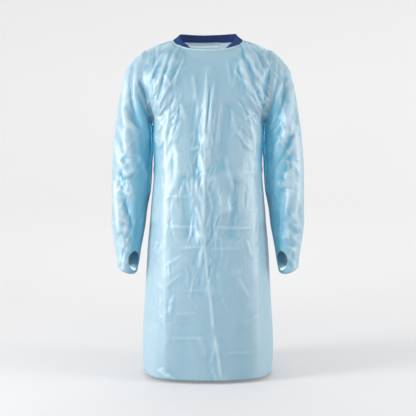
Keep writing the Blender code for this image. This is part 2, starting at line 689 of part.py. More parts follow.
def add_neckband(points, normals, material):
    """The band stands at the back, leans in at the sides and is tucked behind the front's edge."""
    level = np.array([1.0, 1.0, 0.0])
    away = unit(points * level / np.array([NECK_HALF_WIDTH, NECK_FRONT_DEPTH, 1.0]))
    round_neck = np.degrees(np.arccos(np.clip(away[:, 1], -1.0, 1.0)))
    lean = np.radians(np.interp(round_neck, *zip(*BAND_LEANS)))[:, None]
    direction = np.cos(lean) * np.array([0.0, 0.0, 1.0]) - np.sin(lean) * unit(points * level)
    onward = unit(np.cross(normals, np.gradient(points, axis=0)))
    tuck = (round_neck - BAND_TUCK_START) / (BAND_TUCK_END - BAND_TUCK_START)
    behind = np.clip(TUCK_PACE * tuck, 0.0, 1.0)[:, None]
    down = np.clip(TUCK_PACE * tuck - TUCK_DOWN_LAG, 0.0, 1.0)[:, None]
    clear = WALL / 2 + 2.0 * LAY_GAP + BAND_WALL / 2
    root = points + onward * (SEAM_GAP - BAND_TUCK_DROP * down) - normals * clear * behind
    bend = root + unit(onward + direction) * BAND_CURL
    reach = direction * (BAND_WIDTH - BAND_CURL) / BAND_ROWS
    rest = [bend + reach * step for step in range(BAND_ROWS + 1)]
    middle = np.array([root, *rest])
    across = unit(np.cross(np.gradient(middle, axis=1), np.gradient(middle, axis=0)))
    same_way = np.sign(np.sum(normals * across[0], axis=1))[:, None]
    across[0] = unit(normals * same_way * (1.0 - behind) + across[0] * behind)
    outer, inner = wall_points(middle, across, BAND_WALL)
    cloth_piece("neckband", outer, inner, material)


def add_tape(over, back_normals, material):
    """The closure tape on the inside of the lapping panel, below the neckline."""
    row_step = np.linalg.norm(over[-1, HALF_COLUMNS] - over[-2, HALF_COLUMNS])
    columns = HALF_COLUMNS + np.linspace(TAPE_START, TAPE_END, TAPE_STEPS + 1)
    rows = TOP_ROW - np.array([TAPE_DROP + TAPE_WIDTH, TAPE_DROP]) / row_step
    places = [[(row, column) for column in columns] for row in rows]
    offset = -(WALL / 2 + LAY_GAP + TAPE_WALL / 2)
    strip("neck_tape", laid(over, back_normals, places, offset), TAPE_WALL, -1.0, material)


def thumb_cutter(name, way):
    """An oval bar through the cuff's wall where the thumb comes out."""
    rings = SLEEVE_RINGS[-2:]
    share = np.clip((HOLE_HEIGHT - rings[0].outer_z) / (rings[1].outer_z - rings[0].outer_z), 0.0, 1.0)
    spots = [ring_points(ring, np.array([HOLE_ANGLE]))[0] for ring in rings]
    spot = spots[0] * (1.0 - share) + spots[1] * share
    spot[2] = HOLE_HEIGHT
    bm = bmesh.new()
    bmesh.ops.create_cone(bm, cap_ends=True, segments=HOLE_SIDES, radius1=1.0, radius2=1.0,
                          depth=HOLE_CUT_LENGTH)
    bmesh.ops.scale(bm, verts=bm.verts, vec=(HOLE_HALF_WIDTH, HOLE_HALF_HEIGHT, 1.0))
    upright = Matrix.Rotation(math.radians(90.0), 4, "X")
    swing = Matrix.Rotation(math.radians(-HOLE_AXIS_ANGLE * way), 4, "Z")
    there = Matrix.Translation((spot[0] * way, spot[1], spot[2]))
    bmesh.ops.transform(bm, verts=bm.verts, matrix=there @ swing @ upright)
    bmesh.ops.recalc_face_normals(bm, faces=bm.faces)
    mesh = bpy.data.meshes.new(name)
    bm.to_mesh(mesh)
    bm.free()
    cutter = bpy.data.objects.new(name, mesh)
    cutter.hide_render = True
    cutter.display_type = "WIRE"
    bpy.context.collection.objects.link(cutter)
    return cutter


def add_sleeve(side, middle, normals, material):
    """A sleeve from its armhole to the wrist, and the cuff below it with its thumb hole."""
    outer, inner = wall_points(middle, normals, WALL)
    wrist = SLEEVE_ROWS + 1
    for name, rows, edges in (
        (f"sleeve_{side}", slice(0, wrist + 1), {"top": True, "bottom": True}),
        (f"cuff_{side}", slice(wrist, None), {"bottom": True}),
    ):
        wall = pull_in(outer[rows], **edges), pull_in(inner[rows], **edges)
        piece = cloth_piece(name, *wall, material, ring=True)
    way = -1.0 if side == "right" else 1.0
    cut = piece.modifiers.new("thumb hole", "BOOLEAN")
    cut.operation = "DIFFERENCE"
    cut.object = thumb_cutter(f"thumb_{side}", way)


def main():
    clear_scene()
    materials = {name: make_material(name, finish) for name, finish in FINISHES.items()}
    front, back = body_surface(-1.0), body_surface(1.0)
    front_normals, back_normals = grid_normals(front, 1.0), grid_normals(back, -1.0)
    front = front + front_normals * body_folds(front, FRONT_FOLDS)[..., None]
    back = back + back_normals * body_folds(back, BACK_FOLDS)[..., None]
    front_normals, back_normals = grid_normals(front, 1.0), grid_normals(back, -1.0)
    sleeves = {side: sleeve_surface(side) for side in ("right", "left")}
    share_normals(front_normals, back_normals, {side: both[1] for side, both in sleeves.items()})
    over = lapped(back, back_normals)
    add_body(front, front_normals, back, over, back_normals, materials["cloth"])
    for side, (middle, normals) in sleeves.items():
        add_sleeve(side, middle, normals, materials["cloth"])
    points, normals = neckline_path(front, front_normals, back, over, back_normals)
    add_neckband(points, normals, materials["band"])
    add_tape(over, back_normals, materials["tape"])
    add_ties(back, over, back_normals, materials["tie"])


main()
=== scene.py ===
"""The looks of a disposable isolation gown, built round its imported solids.

The cloth is laid on the solids' form: the same levels, chest rows and sleeve rings, in finer cells.
Folds and creases are then raised on it from the tables below, seams and edges are added, and the
neckband, tape, ties and knot are made as their own pieces. Metres, +Z up, and the front faces -Y.
"""

import math
from collections import namedtuple

import bmesh
import bpy
import numpy as np
from mathutils import Matrix, Vector

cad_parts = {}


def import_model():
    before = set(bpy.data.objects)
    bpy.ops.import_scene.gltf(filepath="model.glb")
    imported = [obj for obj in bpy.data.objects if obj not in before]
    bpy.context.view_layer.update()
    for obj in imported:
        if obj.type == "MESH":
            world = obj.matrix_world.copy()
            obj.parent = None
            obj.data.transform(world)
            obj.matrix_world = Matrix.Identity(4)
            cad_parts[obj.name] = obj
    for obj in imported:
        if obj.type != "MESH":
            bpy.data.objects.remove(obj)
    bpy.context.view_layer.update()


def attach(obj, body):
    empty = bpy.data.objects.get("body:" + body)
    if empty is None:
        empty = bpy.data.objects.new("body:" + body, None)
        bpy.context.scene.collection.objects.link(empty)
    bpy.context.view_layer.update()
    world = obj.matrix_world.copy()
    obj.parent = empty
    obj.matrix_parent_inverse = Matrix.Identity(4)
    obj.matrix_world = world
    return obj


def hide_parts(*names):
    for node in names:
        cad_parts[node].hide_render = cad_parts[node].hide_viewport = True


def rows_of(kind, *rows):
    """The rows of a table, each with the names of its kind."""
    return tuple(kind(*row) for row in rows)


# Thickness of each kind of cloth
CLOTH = 0.0004
BAND_CLOTH = 0.0020
TIE_CLOTH = 0.0009
TAPE_CLOTH = 0.0007

# The solids' walls, the way from a wall's middle to its face, and the gaps between pieces
WALL = 0.0016
SKIN = WALL / 2
LAY_GAP = 0.0005
SEAM_GAP = 0.0004

# Neckline and shoulder
NECK_HALF_WIDTH = 0.117
NECK_FRONT_DEPTH = 0.075
NECK_FRONT_DROP = 0.048
NECK_BACK_DEPTH = 0.062
NECK_BACK_RISE = 0.008
NECK_FRONT_SQUARENESS = 2.0
NECK_BACK_SQUARENESS = 2.5
SHOULDER_BEND = 1.25

# Cells of cloth, about 4 mm wide. Numbers of the solids' columns are finer by this many times.
FINER = 6
HALF_COLUMNS = 14 * FINER
NECK_COLUMNS = 8 * FINER
ARMHOLE_ROWS = 96
LOWER_ROWS = 180
SLEEVE_ROWS = 172
TOP_ROW = LOWER_ROWS + ARMHOLE_ROWS

# The back opening, in columns to the left of the centre, and how the over panel rises to lap it
UNDER_EDGE = 2 * FINER
OVER_EDGE = 6 * FINER
LAP_LIFT = 0.0042
LAP_RAMP_COLUMNS = 3.0 * FINER
LAP_FLAT_COLUMNS = 0.5 * FINER

# Waist ties. Each ends inside the knot, at this share of the way from its middle to its side.
TIE_HEIGHT = -0.430
TIE_WIDTH = 0.024
TIE_WALL = 0.0015
TIE_OFFSET = SKIN + LAY_GAP + TIE_WALL / 2
TIE_CELLS = 8
TIE_SEAM_CLEAR = 0.02 * FINER
TIE_REACH = 0.7

# How much narrower a tie is gathered at the knot, and over which part of its length
TIE_GATHER = 0.45
TIE_GATHER_START = 0.80
TIE_GATHER_SPAN = 0.20

# How far the middle of a tie stands out, and waves in it: height, turns along it and across it
TIE_BULGE = 0.0012
TIE_WAVES = ((0.0005, 11.0, 2.2), (0.0004, 29.0, -1.7))

# Columns over which the left tie climbs the over panel's edge
TIE_CLIMB_START = 3.0
TIE_CLIMB_COLUMNS = 6.0

# Free ends of the ties: name, side, and where its waves and its twist start
TIE_ENDS = (("tie_end_right", -1.0, 0.0), ("tie_end_left", 1.0, 1.9))
TIE_END_LENGTH = 0.300
TIE_END_STEPS = 40
TIE_END_TOP = 0.30
TIE_END_APART = 0.0086
TIE_END_SPREAD = 0.050
TIE_END_PINCH = 0.34
TIE_END_FLARE = 4.0
TIE_END_SWAY = 0.006
TIE_END_SWAY_TURNS = 5.0
TIE_END_CLEAR = 0.0008
TIE_END_BULGE = 0.0022
TIE_END_TWIST = 3.0
TIE_END_WAVE = (0.0006, 23.0, 2.0)

# The knot: its core with small pleats round it, and the band of cloth over it
KNOT_COLUMN = 1.0 * FINER
KNOT_WIDTH = 0.034
KNOT_HEIGHT = 0.030
KNOT_DEPTH = 0.015
KNOT_CELLS = (36, 20)
KNOT_BAND_CELLS = (32, 16)
KNOT_PLEATS = ((0.05, 7.0, 1.0), (0.04, 13.0, 0.0))
KNOT_BAND_WIDTH = 0.52
KNOT_BAND_SLANT = 0.16
KNOT_BAND_SWELL = 0.10
KNOT_BAND_SWELL_TURNS = 6.0
KNOT_BAND_DEPTH = 1.12
KNOT_BAND_HEIGHT = 1.02

# Neckband, with angles round the neck from the back
BAND_WIDTH = 0.028
BAND_ROWS = 6
BAND_CURL = 0.003
BAND_DIP = 0.16
BAND_DIP_PACE = 1.5
BAND_DIP_END = 90.0
# Angles over which the back of the band, whose inside shows, turns from painted shade to its plain colour
BAND_SHADE_START = 60.0
BAND_SHADE_SPAN = 30.0
BAND_TUCK_START = 146.0
BAND_TUCK_END = 164.0
BAND_TUCK_DROP = 0.005
TUCK_PACE = 2.5
TUCK_DOWN_LAG = 1.5

# How far the neckband leans in, by the angle round the neck from the back
BAND_LEANS = (
    (0.0, 12.0),
    (45.0, 16.0),
    (72.0, 42.0),
    (92.0, 60.0),
    (110.0, 62.0),
    (125.0, 74.0),
    (140.0, 94.0),
    (164.0, 110.0),
    (180.0, 114.0),
)

# Closure tape, between two of the solids' columns, counted from the centre
TAPE_WIDTH = 0.010
TAPE_DROP = 0.009
TAPE_START = -4.4
TAPE_END = 5.0
TAPE_COLUMNS = 48
TAPE_ROWS = 7

# Oval thumb hole in a cuff, and the cutter that makes it
HOLE_ANGLE = 138.0
HOLE_HEIGHT = -0.727
HOLE_HALF_WIDTH = 0.022
HOLE_HALF_HEIGHT = 0.031
HOLE_AXIS_ANGLE = 54.0
HOLE_CUT_LENGTH = 0.050
HOLE_SIDES = 64

# Rolled seams, the roll along the lap's free edge and the one along the front of the neckline
ROLL_SIDES = 8
SEAM_HALF_WIDTH = 0.0016
SEAM_HALF_HEIGHT = 0.0008
# Crest value of a seam roll, which paints it lighter as a painted highlight on a ridge
SEAM_CREST = 0.35
LAP_HEM_WIDTH = 0.0030
LAP_HEM_HEIGHT = 0.0017
NECK_EDGE_WIDTH = 0.0032
NECK_EDGE_HEIGHT = 0.0020
# The neck edge's crest value paints it lightest, a painted highlight
NECK_EDGE_CREST = 1.0

# Levels of the body from the hem up to the underarm
Level = namedtuple("Level", "height half_width front back squareness")
BODY_LEVELS = rows_of(
    Level,
    (-1.089, 0.2072, 0.185, 0.176, 2.7),
    (-1.047, 0.2130, 0.183, 0.174, 2.7),
    (-0.980, 0.2135, 0.180, 0.170, 2.7),
    (-0.863, 0.2085, 0.175, 0.160, 2.6),
    (-0.780, 0.2045, 0.170, 0.150, 2.6),
    (-0.697, 0.2000, 0.165, 0.140, 2.5),
    (-0.547, 0.1870, 0.156, 0.124, 2.5),
    (-0.430, 0.1785, 0.149, 0.108, 2.4),
    (-0.350, 0.1820, 0.142, 0.118, 2.3),
    (-0.277, 0.1830, 0.135, 0.125, 2.3),
)

# Rows from the underarm up. Each ends on the armhole at this angle, counted from the shoulder.
Chest = namedtuple("Chest", "angle height depth turn neck_rise")
FRONT_CHEST = rows_of(
    Chest,
    (150.0, -0.238, 0.134, 78.0, 0.000),
    (120.0, -0.199, 0.129, 64.0, 0.000),
    (90.0, -0.160, 0.121, 56.0, 0.002),
    (60.0, -0.122, 0.110, 52.0, 0.008),
    (30.0, -0.085, 0.094, 50.0, 0.026),
)
BACK_CHEST = rows_of(
    Chest,
    (150.0, -0.230, 0.129, 78.0, 0.000),
    (120.0, -0.182, 0.129, 64.0, 0.000),
    (90.0, -0.135, 0.123, 56.0, 0.002),
    (60.0, -0.088, 0.110, 52.0, 0.006),
    (30.0, -0.040, 0.088, 50.0, 0.016),
)

# How far up the chest rows' places reach from the underarm, and how wide the rise beside the neck is
UNDERARM_SPAN = 0.300
NECK_RISE_WIDTH = 0.050

# Rings of a sleeve, from the armhole to the end of the cuff. The outer and inner points lie across
# the arm, bow pushes the front and back of a ring outwards, and drop lowers its front.
Ring = namedtuple("Ring", "along outer outer_z inner inner_z depth centre_y bow drop")
SLEEVE_RINGS = rows_of(
    Ring,
    (0.000, 0.2100, -0.0360, 0.1830, -0.2770, 0.0850, 0.000, 0.012, 0.000),
    (0.032, 0.2360, -0.0560, 0.1876, -0.2755, 0.0850, 0.000, 0.014, 0.000),
    (0.082, 0.2640, -0.0980, 0.1866, -0.2870, 0.0840, 0.000, 0.010, 0.000),
    (0.150, 0.2860, -0.1620, 0.1860, -0.3060, 0.0830, 0.000, 0.004, 0.000),
    (0.219, 0.2985, -0.2300, 0.1853, -0.3360, 0.0815, -0.001, 0.000, 0.000),
    (0.300, 0.3090, -0.3100, 0.1850, -0.3800, 0.0790, -0.003, 0.000, 0.000),
    (0.390, 0.3160, -0.4000, 0.1868, -0.4400, 0.0760, -0.006, 0.000, 0.000),
    (0.465, 0.3172, -0.4750, 0.1905, -0.4980, 0.0730, -0.012, 0.000, 0.000),
    (0.540, 0.3160, -0.5500, 0.2010, -0.5570, 0.0690, -0.020, 0.000, 0.000),
    (0.605, 0.3145, -0.6150, 0.2074, -0.6165, 0.0620, -0.030, 0.000, 0.000),
    (0.646, 0.3080, -0.6560, 0.2140, -0.6560, 0.0545, -0.038, 0.000, 0.000),
    (0.685, 0.3010, -0.6940, 0.2205, -0.6950, 0.0500, -0.045, 0.000, 0.000),
    (0.707, 0.2970, -0.7150, 0.2250, -0.7270, 0.0490, -0.049, 0.000, 0.006),
    (0.729, 0.2945, -0.7370, 0.2310, -0.7600, 0.0480, -0.053, 0.000, 0.016),
)
CUFF_END = 0.729

# Beside the chest each sleeve is pulled towards the body, between these lengths along it
TOUCH_PULL = 0.0015
TOUCH_START = 0.03
TOUCH_START_SPAN = 0.05
TOUCH_END = 0.330
TOUCH_END_SPAN = 0.06

# How far a point stands over the cloth round it, first over a small patch of cells, then a broad one. It
# sets the painted highlight on ridges and the painted shade in troughs.
CREST_PASSES = 5
CREST_HEIGHT = 0.0012
BROAD_PASSES = 90
BROAD_HEIGHT = 0.0030
BODY_BROAD = 0.15
SLEEVE_BROAD = 0.6

# Cloth of a sleeve that is turned in towards the body gets painted shade: its colour is mixed towards a dark
# teal
ARM_SHADE_START = -0.1
ARM_SHADE_SPAN = 0.7
ARM_SHADE_SHARE = 0.9

# Cloth that turns away to a side gets a painted highlight, and on a sleeve also where it faces up
SIDE_HIGHLIGHT_START = 0.35
SIDE_HIGHLIGHT_SPAN = 0.45
SIDE_HIGHLIGHT_SHARE = 0.7
SIDE_HIGHLIGHT_RISE = 0.6

# Cloth of the body beside a sleeve gets painted shade, above this height
BESIDE_START = 0.80
BESIDE_SPAN = 0.15
BESIDE_LOW = -0.46
BESIDE_FADE = 0.06

# Colours by how far the cloth stands out, from the bottom of a trough to the top of a ridge: painted shade
# in troughs, a painted highlight on ridges
CLOTH_COLOURS = (
    (0.0, (0.045, 0.260, 0.410)),
    (0.5, (0.220, 0.360, 0.440)),
    (1.0, (0.350, 0.485, 0.560)),
)
# Painted shade under the arms, a dark teal
UNDER_ARM_SHADE_COLOUR = (0.105, 0.400, 0.570)
# Colours of the knit band by its flecks, and darker for the painted shade at its back
BAND_COLOURS = (
    (0.10, (0.002, 0.011, 0.050)),
    (0.45, (0.007, 0.028, 0.118)),
    (0.75, (0.014, 0.048, 0.180)),
)
TIE_COLOURS = ((0.3, (0.170, 0.350, 0.480)), (0.7, (0.230, 0.410, 0.530)))
TAPE_COLOURS = ((0.3, (0.420, 0.560, 0.640)), (0.7, (0.560, 0.680, 0.740)))
FLOOR_COLOUR = (0.56, 0.56, 0.565)

# The place in the colours of cloth that is neither ridge nor trough, and what ridges and mottling add. The
# ridges' share is painted highlight and shade, and the band's share is painted shade at its back.
CREST_BASE = 0.44
CREST_SHARE = 0.5
MOTTLE_SHARE = 0.12
BAND_CREST_SHARE = 0.22

# The noise in each colour: how fine it is, and its detail
CLOTH_MOTTLE = (26.0, 5.0)
BAND_FLECK = (420.0, 4.0)
TIE_MOTTLE = (60.0, 5.0)
TAPE_FUZZ = (700.0, 3.0)

# Settings of each material
CLOTH_SHADER = {
    "Roughness": 0.43,
    "Specular IOR Level": 1.0,
    "Sheen Weight": 0.22,
    "Sheen Roughness": 0.6,
    "Sheen Tint": (0.42, 0.80, 0.97, 1.0),
}
BAND_SHADER = {
    "Roughness": 0.85,
    "Specular IOR Level": 0.3,
    "Sheen Weight": 0.12,
    "Sheen Roughness": 0.5,
    "Sheen Tint": (0.25, 0.42, 0.95, 1.0),
}
TIE_SHADER = {"Roughness": 0.55, "Specular IOR Level": 0.55, "Sheen Weight": 0.3, "Sheen Roughness": 0.45}
TAPE_SHADER = {"Roughness": 0.8, "Sheen Weight": 0.4}
FLOOR_SHADER = {"Roughness": 0.9, "Specular IOR Level": 0.1}

# Bump from noise, the finest last. A stretch below 1 draws the noise out along that axis.
Bump = namedtuple("Bump", "scale distance stretch strength kind")
EVEN = (1.0, 1.0, 1.0)
CLOTH_BUMPS = rows_of(
    Bump,
    (22.0, 0.0034, (1.0, 1.0, 0.35), 0.5, "FBM"),
    (34.0, 0.0009, (1.0, 1.0, 0.35), 0.5, "RIDGED_MULTIFRACTAL"),
    (75.0, 0.0012, (1.0, 1.0, 0.4), 0.5, "FBM"),
    (900.0, 0.0001, EVEN, 0.5, "FBM"),
)
BAND_BUMPS = rows_of(Bump, (60.0, 0.0010, EVEN, 0.4, "FBM"), (520.0, 0.0004, EVEN, 0.8, "FBM"))
TIE_BUMPS = rows_of(Bump, (90.0, 0.0010, (1.0, 1.0, 2.0), 0.5, "FBM"), (900.0, 0.0001, EVEN, 0.5, "FBM"))
TAPE_BUMPS = rows_of(Bump, (700.0, 0.0003, EVEN, 0.8, "FBM"))
BUMP_DETAIL = 3.0
BUMP_ROUGHNESS = 0.55

# Crisp crinkles in the cloth, along the edges of wandering cells, and only in patches of it
Crinkle = namedtuple("Crinkle", "scale distance strength")
CRINKLES = rows_of(Crinkle, (9.0, 0.0020, 0.5), (60.0, 0.0006, 0.5))
WANDER_SCALE = 1.3
WANDER_REACH = 0.6
CELL_STRETCH = (1.0, 1.0, 0.6)
RIDGE_WIDTH = 0.16
PATCH_SCALE = 0.7
PATCH_START = 0.42
PATCH_END = 0.60

# The stage: a floor that curves up into a wall, and its glow by the distance from the gown
FLOOR = -1.100
STAGE_RADIUS = 4.2
STAGE_CURVE = 1.6
STAGE_TOP = 4.0
STAGE_STEPS = 16
STAGE_SIDES = 64
FLOOR_GLOW = 0.16
STAGE_GLOW = 0.38
GLOW_START = 0.5
GLOW_END = 4.2

# The camera looks level at the gown from here
EYE = np.array([0.0, -2.4, -0.557])
LENS = 62.3
SENSOR = 36.0

# Lamps, with their power in watts and their spread in degrees
WORLD_LIGHT = 0.42
WHITE = (1.0, 1.0, 1.0)
THROUGH_CLOTH = (0.15, 0.75, 1.0)
Lamp = namedtuple("Lamp", "name place target size power spread colour")
LAMPS = rows_of(
    Lamp,
    ("left_softbox", (-3.2, -1.5, 0.25), (0.0, 0.0, -0.8), (1.05, 1.9), 44.0, 110.0, WHITE),
    ("right_softbox", (3.2, -1.15, 0.25), (0.0, 0.0, -0.8), (1.0, 1.9), 19.5, 110.0, WHITE),
    ("front_softbox", (-0.7, -2.7, -0.1), (0.0, 0.0, -0.8), (0.9, 0.9), 5.5, 180.0, WHITE),
    ("top_softbox", (0.0, -0.4, 2.6), (0.0, 0.0, -0.55), (2.4, 2.4), 9.0, 180.0, WHITE),
    ("back_left_softbox", (-0.8, 2.6, 1.2), (0.0, 0.0, -0.5), (0.9, 1.8), 11.0, 180.0, WHITE),
    ("back_right_softbox", (0.8, 2.6, 1.2), (0.0, 0.0, -0.5), (0.9, 1.8), 11.0, 180.0, WHITE),
    ("inner_glow", (0.0, 0.0, -0.70), (0.0, 0.0, -1.1), (0.22, 0.16), 0.12, 180.0, WHITE),
    ("neck_glow", (0.0, -0.01, -0.12), (0.0, 0.08, 0.03), (0.12, 0.05), 0.15, 180.0, WHITE),
    ("right_arm_glow", (-0.1838, -0.022, -0.38), (-0.1838, -1.0, -0.38), (0.001, 0.26),
     0.008, 180.0, THROUGH_CLOTH),
    ("left_arm_glow", (0.1838, -0.022, -0.38), (0.1838, -1.0, -0.38), (0.001, 0.26),
     0.008, 180.0, THROUGH_CLOTH),
)

# Points on a curve before it is evened out, and lengths that count as none
DENSE = 900
SHORTEST = 1e-9
COLLAPSE = 1e-6

# How sharply a panel bends to its edges, and the most that a shared normal is lengthened at a seam
END_BLEND_POWER = 4
CHEST_RISE_POWER = 6
MOST_MITRE = 1.6


def smooth_step(value):
    t = np.clip(value, 0.0, 1.0)
    return t * t * (3.0 - 2.0 * t)


def smooth_line(keys, values, at):
    """Values at other places on a smooth curve through the values at the keys."""
    keys = np.asarray(keys, float)
    values = np.asarray(values, float)
    at = np.asarray(at, float)
    slopes = np.gradient(values, keys, axis=0)
    i = np.clip(np.searchsorted(keys, at, side="right") - 1, 0, len(keys) - 2)
    span = keys[i + 1] - keys[i]
    t = (at - keys[i]) / span
    shape = (len(at),) + (1,) * (values.ndim - 1)
    t, span = t.reshape(shape), span.reshape(shape)
    start = (2 * t**3 - 3 * t**2 + 1) * values[i] + (t**3 - 2 * t**2 + t) * span * slopes[i]
    end = (3 * t**2 - 2 * t**3) * values[i + 1] + (t**3 - t**2) * span * slopes[i + 1]
    return start + end


def even_points(line, count):
    """Points at even distances along a line."""
    steps = np.linalg.norm(np.diff(line, axis=0), axis=1)
    along = np.concatenate([[0.0], np.cumsum(steps)])
    at = np.linspace(0.0, along[-1], count)
    return np.stack([np.interp(at, along, line[:, k]) for k in range(3)], axis=1)


def mirrored_row(half):
    """A full row from one half, which runs from the centre to the wearer's left."""
    other = half[:0:-1] * np.array([-1.0, 1.0, 1.0])
    return np.concatenate([other, half])


def power(value, squareness):
    return np.clip(value, 0.0, 1.0) ** (2.0 / squareness)


def unit(vectors):
    length = np.linalg.norm(vectors, axis=-1, keepdims=True)
    return vectors / np.maximum(length, SHORTEST)


def ring_points(ring, angles):
    """Points round the left sleeve. Angle 0 is its outer side, and 90 its front."""
    turn = np.radians(angles)
    middle_x, middle_z = (ring.outer + ring.inner) / 2, (ring.outer_z + ring.inner_z) / 2
    half_x, half_z = (ring.outer - ring.inner) / 2, (ring.outer_z - ring.inner_z) / 2
    front = np.sin(turn)
    x = middle_x + half_x * np.cos(turn) + ring.bow * front**2
    y = ring.centre_y - ring.depth * front
    z = middle_z + half_z * np.cos(turn) - ring.drop * np.clip(front, 0.0, 1.0)
    return np.stack([x, y, z], axis=1)


def armhole_point(angle, facing):
    """A point of the left armhole. The angle runs from the shoulder down, and facing is -1 in front."""
    return ring_points(SLEEVE_RINGS[0], np.array([angle * -facing]))[0]


def level_row(level, facing):
    """A level row of the body, from side seam to side seam."""
    turn = np.radians(np.linspace(0.0, 90.0, DENSE))
    depth = level.front if facing < 0 else level.back
    x = level.half_width * power(np.sin(turn), level.squareness)
    y = facing * depth * power(np.cos(turn), level.squareness)
    half = np.stack([x, y, np.full_like(x, level.height)], axis=1)
    return mirrored_row(even_points(half, HALF_COLUMNS + 1))


def chest_row(row, facing):
    """A row between the two armholes."""
    end = armhole_point(row.angle, facing)
    turn = np.radians(np.linspace(0.0, row.turn, DENSE))
    most = turn[-1]
    x = end[0] * np.sin(turn) / math.sin(most)
    bulge = (np.cos(turn) - math.cos(most)) / (1.0 - math.cos(most))
    y = end[1] + facing * (row.depth - abs(end[1])) * bulge
    rise = row.neck_rise * np.exp(-(((x - NECK_HALF_WIDTH) / NECK_RISE_WIDTH) ** 2))
    fade = 1.0 - (x / end[0]) ** CHEST_RISE_POWER
    z = row.height + (end[2] - row.height) * (x / end[0]) ** 2 + rise * fade
    half = np.stack([x, y, z], axis=1)
    return mirrored_row(even_points(half, HALF_COLUMNS + 1))


def top_row(facing):
    """The top edge of a panel: the neckline, with a shoulder seam at each end."""
    turn = np.radians(np.linspace(0.0, 90.0, DENSE))
    squareness = NECK_FRONT_SQUARENESS if facing < 0 else NECK_BACK_SQUARENESS
    depth = NECK_FRONT_DEPTH if facing < 0 else NECK_BACK_DEPTH
    rise = -NECK_FRONT_DROP if facing < 0 else NECK_BACK_RISE
    x = NECK_HALF_WIDTH * power(np.sin(turn), squareness)
    reach = power(np.cos(turn), squareness)
    curve = np.stack([x, facing * depth * reach, rise * reach], axis=1)
    neckline = even_points(curve, NECK_COLUMNS + 1)
    tip = armhole_point(0.0, facing)
    t = np.linspace(0.0, 1.0, DENSE)
    x = NECK_HALF_WIDTH + (tip[0] - NECK_HALF_WIDTH) * t
    seam = np.stack([x, np.zeros_like(x), tip[2] * t**SHOULDER_BEND], axis=1)
    shoulder = even_points(seam, HALF_COLUMNS - NECK_COLUMNS + 1)
    return mirrored_row(np.concatenate([neckline, shoulder[1:]]))


def row_places():
    """The rows of the body, from the hem up, as places along the side seam and then the armhole."""
    hem, underarm = BODY_LEVELS[0].height, BODY_LEVELS[-1].height
    lower = np.linspace(hem, underarm, LOWER_ROWS + 1)
    upper = underarm + UNDERARM_SPAN * np.linspace(0.0, 1.0, ARMHOLE_ROWS + 1)[1:]
    return np.concatenate([lower, upper])


def body_surface(facing):
    """The front's or back's cloth, without folds: rows from the hem up, columns to +X."""
    table = FRONT_CHEST if facing < 0 else BACK_CHEST
    underarm = BODY_LEVELS[-1].height
    keys = [level.height for level in BODY_LEVELS]
    rows = [level_row(level, facing) for level in BODY_LEVELS]
    for chest in table:
        keys.append(underarm + UNDERARM_SPAN * (180.0 - chest.angle) / 180.0)
        rows.append(chest_row(chest, facing))
    keys.append(underarm + UNDERARM_SPAN)
    rows.append(top_row(facing))
    surface = smooth_line(keys, np.array(rows), row_places())
    across = np.linspace(-1.0, 1.0, 2 * HALF_COLUMNS + 1)
    side = np.stack([np.sign(across), np.ones_like(across), np.ones_like(across)], axis=1)
    for row in range(TOP_ROW + 1):
        end = surface[row, -1] * np.array([1.0, 0.0, 1.0])
        if row >= LOWER_ROWS:
            end = armhole_point(180.0 * (TOP_ROW - row) / ARMHOLE_ROWS, facing)
        surface[row] += (across**END_BLEND_POWER)[:, None] * (end - surface[row, -1]) * side
    return surface


def grid_normals(surface, outward, ring=False):
    """Unit normals of a grid of points. A ring's columns close on themselves."""
    if ring:
        round_it = np.roll(surface, -1, axis=1) - np.roll(surface, 1, axis=1)
    else:
        round_it = np.gradient(surface, axis=1)
    return unit(outward * np.cross(round_it, np.gradient(surface, axis=0)))


def sleeve_surface(side):
    """A sleeve's cloth without folds: rows from the armhole down, columns round it from its outer side."""
    keys = [ring.along for ring in SLEEVE_RINGS]
    places = np.linspace(0.0, CUFF_END, SLEEVE_ROWS + 1)
    angles = 180.0 * np.arange(2 * ARMHOLE_ROWS) / ARMHOLE_ROWS
    rings = np.array([ring_points(ring, angles) for ring in SLEEVE_RINGS])
    surface = smooth_line(keys, rings, places)
    surface[0] = rings[0]
    inner = np.clip(-np.cos(np.radians(angles)), 0.0, 1.0) ** 2
    near = smooth_step((places - TOUCH_START) / TOUCH_START_SPAN)
    near = near * smooth_step((TOUCH_END - places) / TOUCH_END_SPAN)
    surface[..., 0] -= TOUCH_PULL * near[:, None] * inner[None, :]
    normals = grid_normals(surface, 1.0, ring=True)
    if side == "right":
        flip = np.array([-1.0, 1.0, 1.0])
        return surface * flip, normals * flip
    return surface, normals


# The picture, in its pixels: how long a metre looks when it is one metre off, and the middle
FOCAL = 720.0
PICTURE_MIDDLE = 208.0

